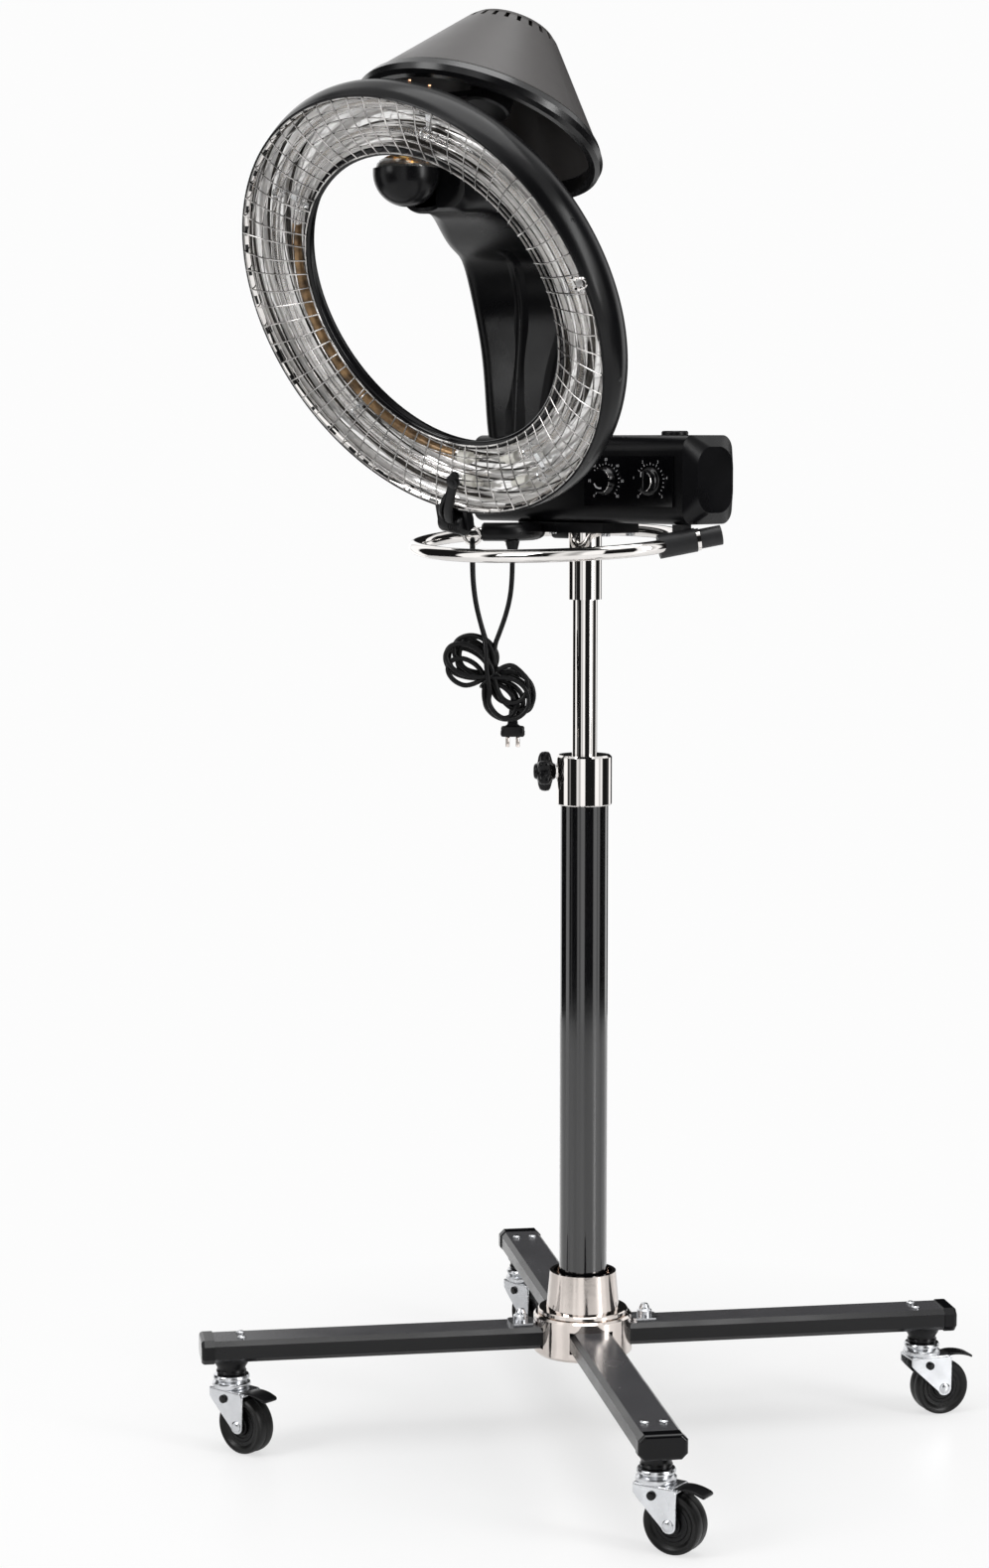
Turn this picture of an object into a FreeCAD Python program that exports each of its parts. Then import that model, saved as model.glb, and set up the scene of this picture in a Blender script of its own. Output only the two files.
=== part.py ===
"""Hair color processor: an infrared ring heater on a curved arm, over a lifting stand with castors.

Row frame, in millimetres: origin on the floor under the column's axis, +Z up, -Y to the front,
where the heater ring faces and where the control knobs are.
"""
import FreeCAD, Part
import Sketcher
import math
import os

from FreeCAD import Placement, Rotation, Vector

X_AXIS, Y_AXIS, Z_AXIS = Vector(1, 0, 0), Vector(0, 1, 0), Vector(0, 0, 1)
ORIGIN = Vector(0, 0, 0)

doc = FreeCAD.newDocument("hair_color_processor")
sheet = doc.addObject("Spreadsheet::Sheet", "Sizes")

# ------------------------------------------------------------------ driving dimensions
SIZES = {
    # four legs and the hub that holds them
    "leg_turn": 51.0,
    "leg_width": 44.0,
    "leg_height": 22.0,
    "leg_wall": 2.0,
    "leg_chamfer": 4.5,
    "leg_start": 31.0,
    "leg_end": 376.0,
    "leg_under": 93.0,
    "cap_length": 13.0,
    "cap_lip": 1.2,
    "hub_radius": 50.0,
    "hub_bottom": 84.0,
    "hub_shoulder": 125.0,
    "flange_radius": 45.5,
    "flange_height": 5.0,
    "cone_foot_radius": 37.0,
    "cone_mouth_radius": 33.5,
    "cone_wall": 4.0,
    "hub_top": 168.0,
    "socket_floor": 100.0,
    "seat_level": 150.0,
    # column, collar and lifting post
    "column_radius": 24.0,
    "column_top": 644.0,
    "spigot_radius": 22.0,
    "top_spigot_radius": 23.5,
    "column_bore": 20.5,
    "collar_radius": 27.5,
    "collar_height": 50.0,
    "bush_length": 84.0,
    "post_radius": 12.5,
    "post_wall": 2.0,
    "post_bottom": 290.0,
    "post_top": 912.0,
    "running_gap": 0.05,
    "knob_level": 677.0,
    "knob_turn": 220.0,
    "knob_radius": 20.0,
    "knob_near": 30.0,
    "knob_far": 51.0,
    "stem_radius": 4.0,
    # castors
    "castor_reach": 358.0,
    "pad_bottom": 78.0,
    "wheel_radius": 29.0,
    "wheel_width": 22.0,
    "trail": 20.0,
    "axle_radius": 4.0,
    "cheek_inside": 12.5,
    "cheek_wall": 2.5,
    "kingpin_radius": 5.5,
    # control box on top of the post
    "box_left": -106.0,
    "box_right": 155.0,
    "box_front": -45.0,
    "box_back": 32.0,
    "box_bottom": 926.0,
    "box_top": 1011.0,
    "box_wall": 3.0,
    "box_round": 15.0,
    "box_split": -2.5,
    "cap_depth": 13.0,
    "cap_bevel": 11.0,
    "sleeve_radius": 16.5,
    "sleeve_bottom": 849.0,
    "plate_bottom": 916.0,
    "bezel_width": 54.5,
    "bezel_height": 48.0,
    "bezel_thickness": 2.5,
    "dial_level": 967.0,
    "timer_x": 66.0,
    "heat_x": 121.0,
    "dial_radius": 14.0,
    "dial_depth": 12.0,
    "button_x": 113.0,
    "button_radius": 13.0,
    # heater ring
    "ring_y": -241.0,
    "ring_level": 1126.0,
    "ring_dip": 26.5,
    "lip_radius": 211.4,
    "shell_radius": 217.0,
    "hole_radius": 147.0,
    "ring_depth": 50.0,
    "shell_wall": 2.5,
    "tube_radius": 5.0,
    "wire_radius": 1.3,
    # motor bell over the ring, on the axis that the ring swings about
    "bell_lean": 26.5,
    "bell_gap": 181.0,
    "bell_radius": 118.5,
    "bell_top_radius": 47.0,
    "bell_height": 116.0,
    "bell_wall": 3.0,
    "motor_radius": 28.0,
    "motor_height": 54.0,
    # arm between the box and the bell
    "arm_turn": 107.0,
    "arm_wall": 3.0,
    "frame_radius": 9.0,
    "cup_radius": 31.0,
    "cup_x": -18.0,
    "cup_y": -238.0,
    "cup_level": 1253.0,
    # handle loop under the box
    "loop_half_x": 149.0,
    "loop_half_y": 105.0,
    "loop_end_radius": 83.0,
    "loop_x": -8.0,
    "loop_y": -46.0,
    "loop_level": 906.5,
    "loop_slope": 5.8,
    "loop_tube": 6.5,
    # mains cord
    "cord_radius": 2.5,
    "hank_radius": 29.0,
    "hank_depth": 32.0,
    "bracket_bottom": 908.0,
}
for row, (alias, value) in enumerate(SIZES.items(), start=1):
    sheet.set("A%d" % row, alias)
    sheet.set("B%d" % row, str(value))
    sheet.setAlias("B%d" % row, alias)
doc.recompute()


def size(alias):
    """One driving dimension, read back from the spreadsheet."""
    return float(sheet.get(alias))


def linked(formula):
    """A formula written with plain aliases, as references to the spreadsheet's cells."""
    words, word = [], ""
    for letter in formula + " ":
        if letter.isalnum() or letter == "_":
            word += letter
            continue
        words.append("Sizes." + word if word in SIZES else word)
        words.append(letter)
        word = ""
    return "".join(words).strip()


# ------------------------------------------------------------------ small modelling helpers
nodes = []


def node(obj, label):
    """Registers an object as one sub-part, which becomes one file."""
    obj.Label = label
    nodes.append(obj)
    return obj


def solid(kind, name, place=None, **formulas):
    """A Part primitive whose dimensions are bound to the spreadsheet."""
    obj = doc.addObject("Part::" + kind, name)
    for prop, formula in formulas.items():
        if isinstance(formula, str):
            obj.setExpression(prop, linked(formula))
        else:
            setattr(obj, prop, formula)
    if place is not None:
        obj.Placement = place
    return obj


def at(x=0.0, y=0.0, z=0.0, axis=Z_AXIS, angle=0.0):
    return Placement(Vector(x, y, z), Rotation(axis, angle))


def joined(name, parts):
    obj = doc.addObject("Part::MultiFuse", name)
    obj.Shapes = list(parts)
    return obj


def cut(name, base, *tools):
    obj = doc.addObject("Part::Cut", name)
    obj.Base = base
    obj.Tool = tools[0] if len(tools) == 1 else joined(name + "_tools", tools)
    return obj


def common(name, *parts):
    obj = doc.addObject("Part::MultiCommon", name)
    obj.Shapes = list(parts)
    return obj


def group(name, parts):
    """Several separate solids kept in one node."""
    obj = doc.addObject("Part::Compound", name)
    obj.Links = list(parts)
    return obj


def shaped(name, shape, place=None):
    """A piece whose shape no primitive or sketch feature gives."""
    obj = doc.addObject("Part::Feature", name)
    obj.Shape = shape
    if place is not None:
        obj.Placement = place
    return obj


def edges_where(obj, test):
    doc.recompute()
    return [i for i, edge in enumerate(obj.Shape.Edges, start=1) if test(edge)]


def rounded(name, base, radius, test):
    obj = doc.addObject("Part::Fillet", name)
    obj.Base = base
    obj.Edges = [(i, radius, radius) for i in edges_where(base, test)]
    return obj


def bevelled(name, base, width, test):
    obj = doc.addObject("Part::Chamfer", name)
    obj.Base = base
    obj.Edges = [(i, width, width) for i in edges_where(base, test)]
    return obj


def runs_along(axis):
    """Test for straight edges along an axis."""
    def test(edge):
        if len(edge.Vertexes) != 2 or not isinstance(edge.Curve, (Part.Line, Part.LineSegment)):
            return False
        way = edge.Vertexes[1].Point - edge.Vertexes[0].Point
        return way.Length > 1e-6 and abs(way.normalize().dot(axis)) > 0.999
    return test


def lathe(points, axis_start=ORIGIN, axis=Z_AXIS):
    """A solid of revolution from a closed outline of (radius, height) points."""
    outline = Part.makePolygon([Vector(r, 0, h) for r, h in points + points[:1]])
    return Part.Face(outline).revolve(axis_start, axis, 360)


def smooth(points):
    curve = Part.BSplineCurve()
    curve.interpolate(points)
    return curve.toShape()


def round_tube(wire, radius, start, way):
    """A round bar along a wire."""
    circle = Part.Wire(Part.makeCircle(radius, start, way))
    return wire.makePipeShell([circle], True, False)


def cord_path(points):
    """Straight runs joined by tangent arcs, each arc as large as its two runs allow."""
    edges, last = [], points[0]
    for before, corner, after in zip(points, points[1:], points[2:]):
        into, out = (corner - before), (after - corner)
        shorter = min(into.Length, out.Length)
        into.normalize()
        out.normalize()
        turn = math.acos(max(-1.0, min(1.0, into.dot(out))))
        reach = 0.45 * shorter
        radius = reach / math.tan(turn / 2)
        print("cord corner: turn %.0f deg, radius %.1f mm" % (math.degrees(turn), radius))
        start, end = corner - into * reach, corner + out * reach
        centre = corner + (out - into).normalize() * (radius / math.cos(turn / 2))
        middle = centre + (corner - centre).normalize() * radius
        edges.append(Part.LineSegment(last, start).toShape())
        edges.append(Part.Arc(start, middle, end).toShape())
        last = end
    edges.append(Part.LineSegment(last, points[-1]).toShape())
    return Part.Wire(edges)


def cord_tube(points):
    wire = cord_path(points)
    tube = round_tube(wire, size("cord_radius"), points[0], points[1] - points[0])
    expected = math.pi * size("cord_radius") ** 2 * wire.Length
    print("cord tube %.0f mm long, volume ratio %.4f" % (wire.Length, tube.Volume / expected))
    return tube


# ------------------------------------------------------------------ base: legs and hub
LEGS = {"rear_right": 0.0, "rear_left": 90.0, "front_left": 180.0, "front_right": 270.0}


def leg_way(leg):
    return size("leg_turn") + LEGS[leg]


def leg_tube(leg):
    """One rectangular steel tube with bevelled corners, padded from two sketches."""
    body = doc.addObject("PartDesign::Body", "leg_body_" + leg)
    plane = [o for o in body.Origin.OriginFeatures if o.Role == "YZ_Plane"][0]

    def rectangle(name, width, height):
        sketch = body.newObject("Sketcher::SketchObject", name + leg)
        sketch.AttachmentSupport = [(plane, "")]
        sketch.MapMode = "FlatFace"
        w, h = size("leg_width") / 2, size("leg_height") / 2
        corners = [Vector(-w, -h, 0), Vector(w, -h, 0), Vector(w, h, 0), Vector(-w, h, 0)]
        for a, b in zip(corners, corners[1:] + corners[:1]):
            sketch.addGeometry(Part.LineSegment(a, b), False)
        rule = Sketcher.Constraint
        for i in range(4):
            sketch.addConstraint(rule("Coincident", i, 2, (i + 1) % 4, 1))
        for i, way in enumerate(("Horizontal", "Vertical", "Horizontal", "Vertical")):
            sketch.addConstraint(rule(way, i))
        sketch.addConstraint(rule("Symmetric", 0, 1, 1, 2, -1, 1))
        wide = sketch.addConstraint(rule("DistanceX", 0, 1, 0, 2, 2 * w))
        tall = sketch.addConstraint(rule("DistanceY", 1, 1, 1, 2, 2 * h))
        sketch.setExpression("Constraints[%d]" % wide, linked(width))
        sketch.setExpression("Constraints[%d]" % tall, linked(height))
        return sketch

    pad = body.newObject("PartDesign::Pad", "leg_pad_" + leg)
    pad.Profile = rectangle("leg_outside_", "leg_width", "leg_height")
    pad.setExpression("Length", linked("leg_end - leg_start"))
    doc.recompute()
    bevel = body.newObject("PartDesign::Chamfer", "leg_bevel_" + leg)
    along = runs_along(X_AXIS)
    names = ["Edge%d" % i for i, edge in enumerate(pad.Shape.Edges, start=1) if along(edge)]
    bevel.Base = (pad, names)
    bevel.setExpression("Size", linked("leg_chamfer"))
    doc.recompute()
    hollow = body.newObject("PartDesign::Pocket", "leg_hollow_" + leg)
    hollow.Profile = rectangle("leg_inside_", "leg_width - 6 * leg_wall",
                               "leg_height - 2 * leg_wall")
    hollow.Type = "ThroughAll"
    hollow.Midplane = True
    doc.recompute()
    body.Tip = hollow
    way = Rotation(Z_AXIS, leg_way(leg))
    middle = size("leg_under") + size("leg_height") / 2
    body.Placement = Placement(way.multVec(X_AXIS) * size("leg_start") + Z_AXIS * middle, way)
    return body


for leg in LEGS:
    tube = leg_tube(leg)
    holes = []
    for side in (-1, 1):
        hole = solid("Cylinder", "leg_screw_hole_%s_%d" % (leg, side + 1), Radius=2.05, Height=30.0)
        spot = Rotation(Z_AXIS, leg_way(leg)).multVec(Vector(348.0, side * 9.0, 90.0))
        hole.Placement = Placement(spot, Rotation())
        holes.append(hole)
    node(cut("leg_tube_" + leg, tube, *holes), "leg_" + leg)


def leg_cap(leg):
    """Moulded end cap: a bevelled block against the end of the tube."""
    block = solid("Box", "cap_block_" + leg, Length="cap_length",
                  Width="leg_width + 2 * cap_lip", Height="leg_height + 2 * cap_lip")
    bevel = bevelled("cap_sides_" + leg, block, size("leg_chamfer") + size("cap_lip"),
                     runs_along(X_AXIS))
    nose = rounded("cap_nose_" + leg, bevel, 3.5,
                   lambda e: min(v.X for v in e.Vertexes) > size("cap_length") - 0.01)
    shift = Vector(size("leg_end"), -size("leg_width") / 2 - size("cap_lip"),
                   size("leg_under") - size("cap_lip"))
    way = Rotation(Z_AXIS, leg_way(leg))
    nose.Placement = Placement(way.multVec(shift), way)
    return nose


node(group("leg_cap_set", [leg_cap(leg) for leg in LEGS]), "leg_end_caps")


def hub():
    """Plated casting: a body slotted for the legs, a flange and a conical socket for the column."""
    bottom, shoulder, top = size("hub_bottom"), size("hub_shoulder"), size("hub_top")
    flange = shoulder + size("flange_height")
    mouth = size("cone_mouth_radius") - size("cone_wall")
    outline = [(0, bottom), (size("hub_radius") - 3, bottom), (size("hub_radius"), bottom + 3),
               (size("hub_radius"), shoulder - 2), (size("hub_radius") - 2, shoulder),
               (size("flange_radius") - 1, shoulder), (size("flange_radius"), shoulder + 1),
               (size("flange_radius"), flange - 1), (size("flange_radius") - 1, flange),
               (size("cone_foot_radius"), flange), (size("cone_mouth_radius"), top),
               (mouth, top), (mouth, size("seat_level")),
               (size("spigot_radius"), size("seat_level")),
               (size("spigot_radius"), size("socket_floor")), (0, size("socket_floor"))]
    casting = shaped("hub_casting", lathe(outline))
    slots = []
    for leg in LEGS:
        slot = solid("Box", "hub_slot_" + leg, Length=60.0, Width="leg_width", Height="leg_height")
        way = Rotation(Z_AXIS, leg_way(leg))
        shift = Vector(size("leg_start"), -size("leg_width") / 2, size("leg_under"))
        slot.Placement = Placement(way.multVec(shift), way)
        slots.append(slot)
    return cut("hub_slotted", casting, *slots)


node(hub(), "base_hub")


def base_fasteners():
    """Clamp tabs with acorn nuts beside the hub, and the screws that hold the castor pads."""
    pieces = []
    for leg in ("rear_right", "front_left"):
        way = Rotation(Z_AXIS, leg_way(leg))
        top = size("leg_under") + size("leg_height")
        tab = bevelled("tab_" + leg, solid("Box", "tab_plate_" + leg, Length=26.0, Width=26.0,
                                           Height=3.0), 3.0, runs_along(Z_AXIS))
        tab.Placement = Placement(way.multVec(Vector(size("hub_radius") + 0.3, -13, top)), way)
        nut = lathe([(0, 0), (7.5, 0), (7.5, 5.5), (5.5, 7), (5.2, 9), (3.5, 12), (0, 13)])
        bolt = shaped("acorn_nut_" + leg, nut)
        bolt.Placement = Placement(way.multVec(Vector(64, 0, top + 3.0)), way)
        pieces += [tab, bolt]
    for leg in LEGS:
        for side in (-1, 1):
            head = lathe([(0, -25), (2, -25), (2, 0), (4.2, 0), (4.2, 1.4), (2.6, 2.6), (0, 2.8)])
            screw = shaped("leg_screw_%s_%d" % (leg, side + 1), head)
            spot = Vector(348.0, side * 9.0, size("leg_under") + size("leg_height"))
            screw.Placement = Placement(Rotation(Z_AXIS, leg_way(leg)).multVec(spot), Rotation())
            pieces.append(screw)
    return group("base_fastener_set", pieces)


node(base_fasteners(), "base_fasteners")

# ------------------------------------------------------------------ column, collar and post
KNOB_WAY = Rotation(Z_AXIS, size("knob_turn"))


def knob_hole(name, radius, start, end):
    """A round bar along the height knob's stem, used as a cutter."""
    bar = solid("Cylinder", name, Radius=radius, Height=end - start)
    lie = Rotation(Y_AXIS, 90)
    bar.Placement = Placement(KNOB_WAY.multVec(X_AXIS) * start + Z_AXIS * size("knob_level"),
                              KNOB_WAY.multiply(lie))
    return bar


def column():
    top = size("column_top") + 40
    outline = [(size("column_bore"), size("socket_floor")),
               (size("spigot_radius") - 0.02, size("socket_floor")),
               (size("spigot_radius") - 0.02, size("seat_level")),
               (size("column_radius"), size("seat_level")),
               (size("column_radius"), size("column_top")),
               (size("top_spigot_radius"), size("column_top")),
               (size("top_spigot_radius"), top), (size("column_bore"), top)]
    return cut("column_pipe", shaped("column_blank", lathe(outline)),
               knob_hole("column_stem_hole", size("stem_radius") + 0.5, 15, 30))


node(column(), "column_tube")


def collar():
    foot = size("column_top")
    top = foot + size("collar_height")
    outer = size("collar_radius")
    outline = [(size("top_spigot_radius"), foot), (outer - 1, foot), (outer, foot + 1),
               (outer, top - 2), (outer - 2, top), (size("post_radius") + 0.4, top),
               (size("post_radius") + 0.4, top - 4), (size("top_spigot_radius"), top - 4)]
    boss = solid("Cylinder", "collar_boss", Radius=8.0, Height=7.0)
    boss.Placement = Placement(
        KNOB_WAY.multVec(X_AXIS) * (outer - 6.5) + Z_AXIS * size("knob_level"),
        KNOB_WAY.multiply(Rotation(Y_AXIS, 90)))
    inside = solid("Cylinder", "collar_inside", at(z=foot), Radius="top_spigot_radius",
                   Height="collar_height - 4")
    whole = joined("collar_whole", [shaped("collar_ring", lathe(outline)), boss])
    return cut("collar_bored", whole, inside,
               knob_hole("collar_stem_hole", size("stem_radius") + size("running_gap"), 15, 40))


node(collar(), "height_collar")


def bush():
    top = size("column_top") + 40
    foot = top - size("bush_length")
    bore = size("post_radius") + size("running_gap")
    outline = [(bore, foot), (size("column_bore"), foot), (size("column_bore"), top),
               (size("top_spigot_radius") - 0.5, top), (size("top_spigot_radius") - 0.5, top + 5.5),
               (bore, top + 5.5)]
    return cut("bush_bored", shaped("bush_blank", lathe(outline)),
               knob_hole("bush_stem_hole", size("stem_radius") + 0.5, 10, 30))


node(bush(), "collar_bush")


def star_knob():
    """Six-lobed hand knob moulded over its threaded stem; the stem presses on the post."""
    deep = size("knob_far") - size("knob_near")
    pieces = [solid("Cylinder", "knob_core", Radius=13.5, Height=deep),
              solid("Cylinder", "knob_neck", at(z=-1.5), Radius=7.5, Height=4.0)]
    for i in range(6):
        turn = math.radians(60 * i)
        reach = size("knob_radius") - 6.5
        lobe = solid("Cylinder", "knob_lobe_%d" % i, at(reach * math.cos(turn),
                     reach * math.sin(turn), 4.0), Radius=6.5, Height=deep - 4.0)
        pieces.append(lobe)
    stem_start = size("post_radius") + 0.3
    stem = solid("Cylinder", "knob_stem", at(z=stem_start - size("knob_near")),
                 Radius="stem_radius", Height=size("knob_far") - stem_start - 6)
    pieces.append(stem)
    knob = joined("star_knob", pieces)
    way = KNOB_WAY.multiply(Rotation(Y_AXIS, 90))
    knob.Placement = Placement(
        KNOB_WAY.multVec(X_AXIS) * size("knob_near") + Z_AXIS * size("knob_level"), way)
    return knob


node(star_knob(), "height_knob")
outside = solid("Cylinder", "post_outside", at(z=size("post_bottom")), Radius="post_radius",
                Height="post_top - post_bottom")
inside = solid("Cylinder", "post_inside", at(z=size("post_bottom") - 1),
               Radius="post_radius - post_wall", Height="post_top - post_bottom - 4")
node(cut("post_tube", outside, inside), "lift_post")

# ------------------------------------------------------------------ castors
# Each castor is modelled with its swivel axis on Z and its wheel trailing along +X.
TRAIL_WAY = {"rear_right": 60.0, "rear_left": -12.0, "front_left": 2.0, "front_right": 10.0}


def castor_place(leg):
    way = math.radians(leg_way(leg))
    spot = Vector(math.cos(way), math.sin(way), 0) * size("castor_reach")
    return Placement(spot, Rotation(Z_AXIS, TRAIL_WAY[leg]))


def castor_mount(leg):
    """Black pad under the end of the leg with the kingpin that the castor turns on."""
    pad = bevelled("pad_" + leg, solid("Box", "pad_block_" + leg, at(-20, -21, size("pad_bottom")),
                                       Length=37.7, Width=42.0, Height="leg_under - pad_bottom"),
                   4.0, runs_along(Z_AXIS))
    pin = solid("Cylinder", "kingpin_" + leg, at(z=59.0), Radius="kingpin_radius", Height=26.0)
    pad_and_pin = joined("pad_pin_" + leg, [pad, pin])
    drills = []
    for side in (-1, 1):
        drill = solid("Cylinder", "pad_drill_%s_%d" % (leg, side + 1), at(-10, side * 9.0, 88.0),
                      Radius=2.05, Height=10.0)
        drills.append(drill)
    mount = cut("castor_mount_" + leg, pad_and_pin, *drills)
    way = math.radians(leg_way(leg))
    mount.Placement = Placement(Vector(math.cos(way), math.sin(way), 0) * size("castor_reach"),
                                Rotation(Z_AXIS, leg_way(leg)))
    return mount


node(group("castor_mount_set", [castor_mount(leg) for leg in LEGS]), "castor_mounts")


def castor_frame(leg):
    """Pressed fork under a ball race, its riveted axle and the pin of the brake lever."""
    pivot = size("kingpin_radius") + size("running_gap")
    race = lathe([(pivot, 64), (17, 64), (19, 66), (19, 71), (16, 73), (17.5, 75), (17.5, 77.5),
                  (pivot, 77.5)])
    crown = solid("Box", "crown_" + leg, at(-17, -size("cheek_inside") - size("cheek_wall"), 60.5),
                  Length=38.0, Width="2 * cheek_inside + 2 * cheek_wall", Height=3.5)
    bore = solid("Cylinder", "crown_bore_" + leg, at(z=50), Radius="kingpin_radius + running_gap",
                 Height=40.0)
    outline = [Vector(-17, 0, 64), Vector(-17, 0, 55), Vector(8, 0, 22), Vector(14, 0, 18),
               Vector(27, 0, 18), Vector(33, 0, 26), Vector(31, 0, 64), Vector(-17, 0, 64)]
    pieces = [shaped("race_" + leg, race), crown]
    for side in (-1, 1):
        cheek = Part.Face(Part.makePolygon(outline)).extrude(Y_AXIS * size("cheek_wall"))
        start = size("cheek_inside") if side > 0 else -size("cheek_inside") - size("cheek_wall")
        cheek.translate(Y_AXIS * start)
        pieces.append(shaped("cheek_%s_%d" % (leg, side + 1), cheek))
    reach = size("cheek_inside") + size("cheek_wall")
    axle_hole = solid("Cylinder", "axle_hole_" + leg,
                      at(size("trail"), 20, size("wheel_radius"), X_AXIS, 90),
                      Radius="axle_radius", Height=40.0)
    pin_hole = solid("Cylinder", "pin_hole_" + leg, at(27, 20, 61.5, X_AXIS, 90), Radius=1.6,
                     Height=40.0)
    fork = cut("fork_" + leg, joined("fork_blank_" + leg, pieces), bore, axle_hole, pin_hole)
    rivet = lathe([(0, -reach - 2), (5, -reach - 2), (6.5, -reach), (size("axle_radius"), -reach),
                   (size("axle_radius"), reach), (6.5, reach), (5, reach + 2), (0, reach + 2)])
    axle = shaped("axle_" + leg, rivet, at(size("trail"), 0, size("wheel_radius"), X_AXIS, 90))
    pin = solid("Cylinder", "brake_pin_" + leg, at(27, reach, 61.5, X_AXIS, 90), Radius=1.6,
                Height=2 * reach)
    return group("castor_frame_" + leg, [fork, axle, pin])


def castor_wheel(leg):
    """Solid wheel with a seamed tread and stepped faces."""
    half, rim = size("wheel_width") / 2, size("wheel_radius")
    bore = size("axle_radius") + size("running_gap")
    side = [(bore, half), (9, half), (10, half - 3), (19, half - 3), (20.5, half - 1),
            (rim - 3, half - 1), (rim, half - 4), (rim, 0.8)]
    outline = side + [(rim - 0.8, 0)] + [(r, -h) for r, h in reversed(side)]
    return shaped("wheel_shape_" + leg, lathe(outline),
                  at(size("trail"), 0, rim, X_AXIS, 90))


def brake_lever(leg):
    """Foot lever over the wheel, on its own small pin."""
    width = 2 * size("cheek_inside") - 1.0
    outline = [Vector(24, 0, 64.4), Vector(24, 0, 60.4), Vector(38, 0, 59.8), Vector(52, 0, 55.0),
               Vector(54, 0, 58.0), Vector(50, 0, 62.0), Vector(38, 0, 65.0), Vector(24, 0, 64.4)]
    plate = Part.Face(Part.makePolygon(outline)).extrude(Y_AXIS * width)
    plate.translate(Y_AXIS * (-width / 2))
    barrel = solid("Cylinder", "barrel_" + leg, at(27, width / 2, 61.5, X_AXIS, 90), Radius=3.0,
                   Height=width)
    bore = solid("Cylinder", "barrel_bore_" + leg, at(27, 20, 61.5, X_AXIS, 90), Radius=1.65,
                 Height=40.0)
    return cut("brake_" + leg, joined("brake_blank_" + leg,
                                      [shaped("brake_plate_" + leg, plate), barrel]), bore)


for leg in LEGS:
    for piece, label in ((castor_frame(leg), "castor_frame_"), (castor_wheel(leg), "castor_wheel_"),
                         (brake_lever(leg), "castor_brake_")):
        piece.Placement = castor_place(leg).multiply(piece.Placement)
        node(piece, label + leg)

# ------------------------------------------------------------------ head: post sleeve and box
outside = solid("Cylinder", "sleeve_outside", at(z=size("sleeve_bottom")), Radius="sleeve_radius",
                Height="plate_bottom - sleeve_bottom")
inside = solid("Cylinder", "sleeve_inside", at(z=size("sleeve_bottom") - 1),
               Radius="post_radius + running_gap", Height="post_top - sleeve_bottom + 1.5")
node(cut("sleeve_pipe", outside, inside), "post_sleeve")

plate = bevelled("plate_blank", solid("Box", "plate_block", at(-62, -38, size("plate_bottom")),
                                      Length=124.0, Width=54.0,
                                      Height="box_bottom - plate_bottom"),
                 8.0, runs_along(Z_AXIS))
node(plate, "mount_plate")


def box_block(name, inset):
    """The control box's long rounded block, inset on all sides but its ends."""
    block = solid("Box", name + "_block",
                  Length="box_right - box_left",
                  Width="box_back - box_front - %g" % (2 * inset),
                  Height="box_top - box_bottom - %g" % (2 * inset))
    form = rounded(name, block, size("box_round") - inset, runs_along(X_AXIS))
    form.Placement = at(size("box_left"), size("box_front") + inset, size("box_bottom") + inset)
    return form


def box_shells():
    """Front and back halves of the control box, with the holes for dials and button."""
    hollow = cut("box_hollow", box_block("box_outside", 0.0),
                 box_block("box_inside", size("box_wall")))
    drills = []
    for dial in ("timer_x", "heat_x"):
        drills.append(solid("Cylinder", "shell_drill_" + dial,
                            at(size(dial), size("box_front") + 10, size("dial_level"), X_AXIS, 90),
                            Radius=4.0, Height=20.0))
    drills.append(solid("Cylinder", "button_drill", at(size("button_x"), 0, size("box_top") - 10),
                        Radius="button_radius + 0.08", Height=20.0))
    halves = []
    for name, start, end in (("front", size("box_front") - 5, size("box_split")),
                             ("back", size("box_split"), size("box_back") + 5)):
        side = solid("Box", "box_side_" + name, at(size("box_left"), start, size("box_bottom")),
                     Length="box_right - box_left", Width=end - start,
                     Height="box_top - box_bottom")
        halves.append(common("box_half_" + name, hollow, side))
    node(cut("box_front_drilled", halves[0], *drills), "box_front_shell")
    back_drill = solid("Cylinder", "back_button_drill", at(size("button_x"), 0, 1000),
                       Radius="button_radius + 0.08", Height=20.0)
    node(cut("box_back_drilled", halves[1], back_drill), "box_back_shell")


box_shells()


def rounded_section(x, inset, radius):
    """The box's cross section at x, as a wire of four lines and four arcs."""
    y0, y1 = size("box_front") + inset, size("box_back") - inset
    z0, z1 = size("box_bottom") + inset, size("box_top") - inset
    corners = [(y0, z0, 180), (y1, z0, 270), (y1, z1, 0), (y0, z1, 90)]
    edges, first, last = [], None, None
    for y, z, start in corners:
        cy = y + radius if y == y0 else y - radius
        cz = z + radius if z == z0 else z - radius
        points = [Vector(x, cy + radius * math.cos(math.radians(a)),
                         cz + radius * math.sin(math.radians(a)))
                  for a in (start, start + 45, start + 90)]
        if last is not None:
            edges.append(Part.LineSegment(last, points[0]).toShape())
        first = first or points[0]
        edges.append(Part.Arc(*points).toShape())
        last = points[2]
    edges.append(Part.LineSegment(last, first).toShape())
    return Part.Wire(edges)


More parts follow.
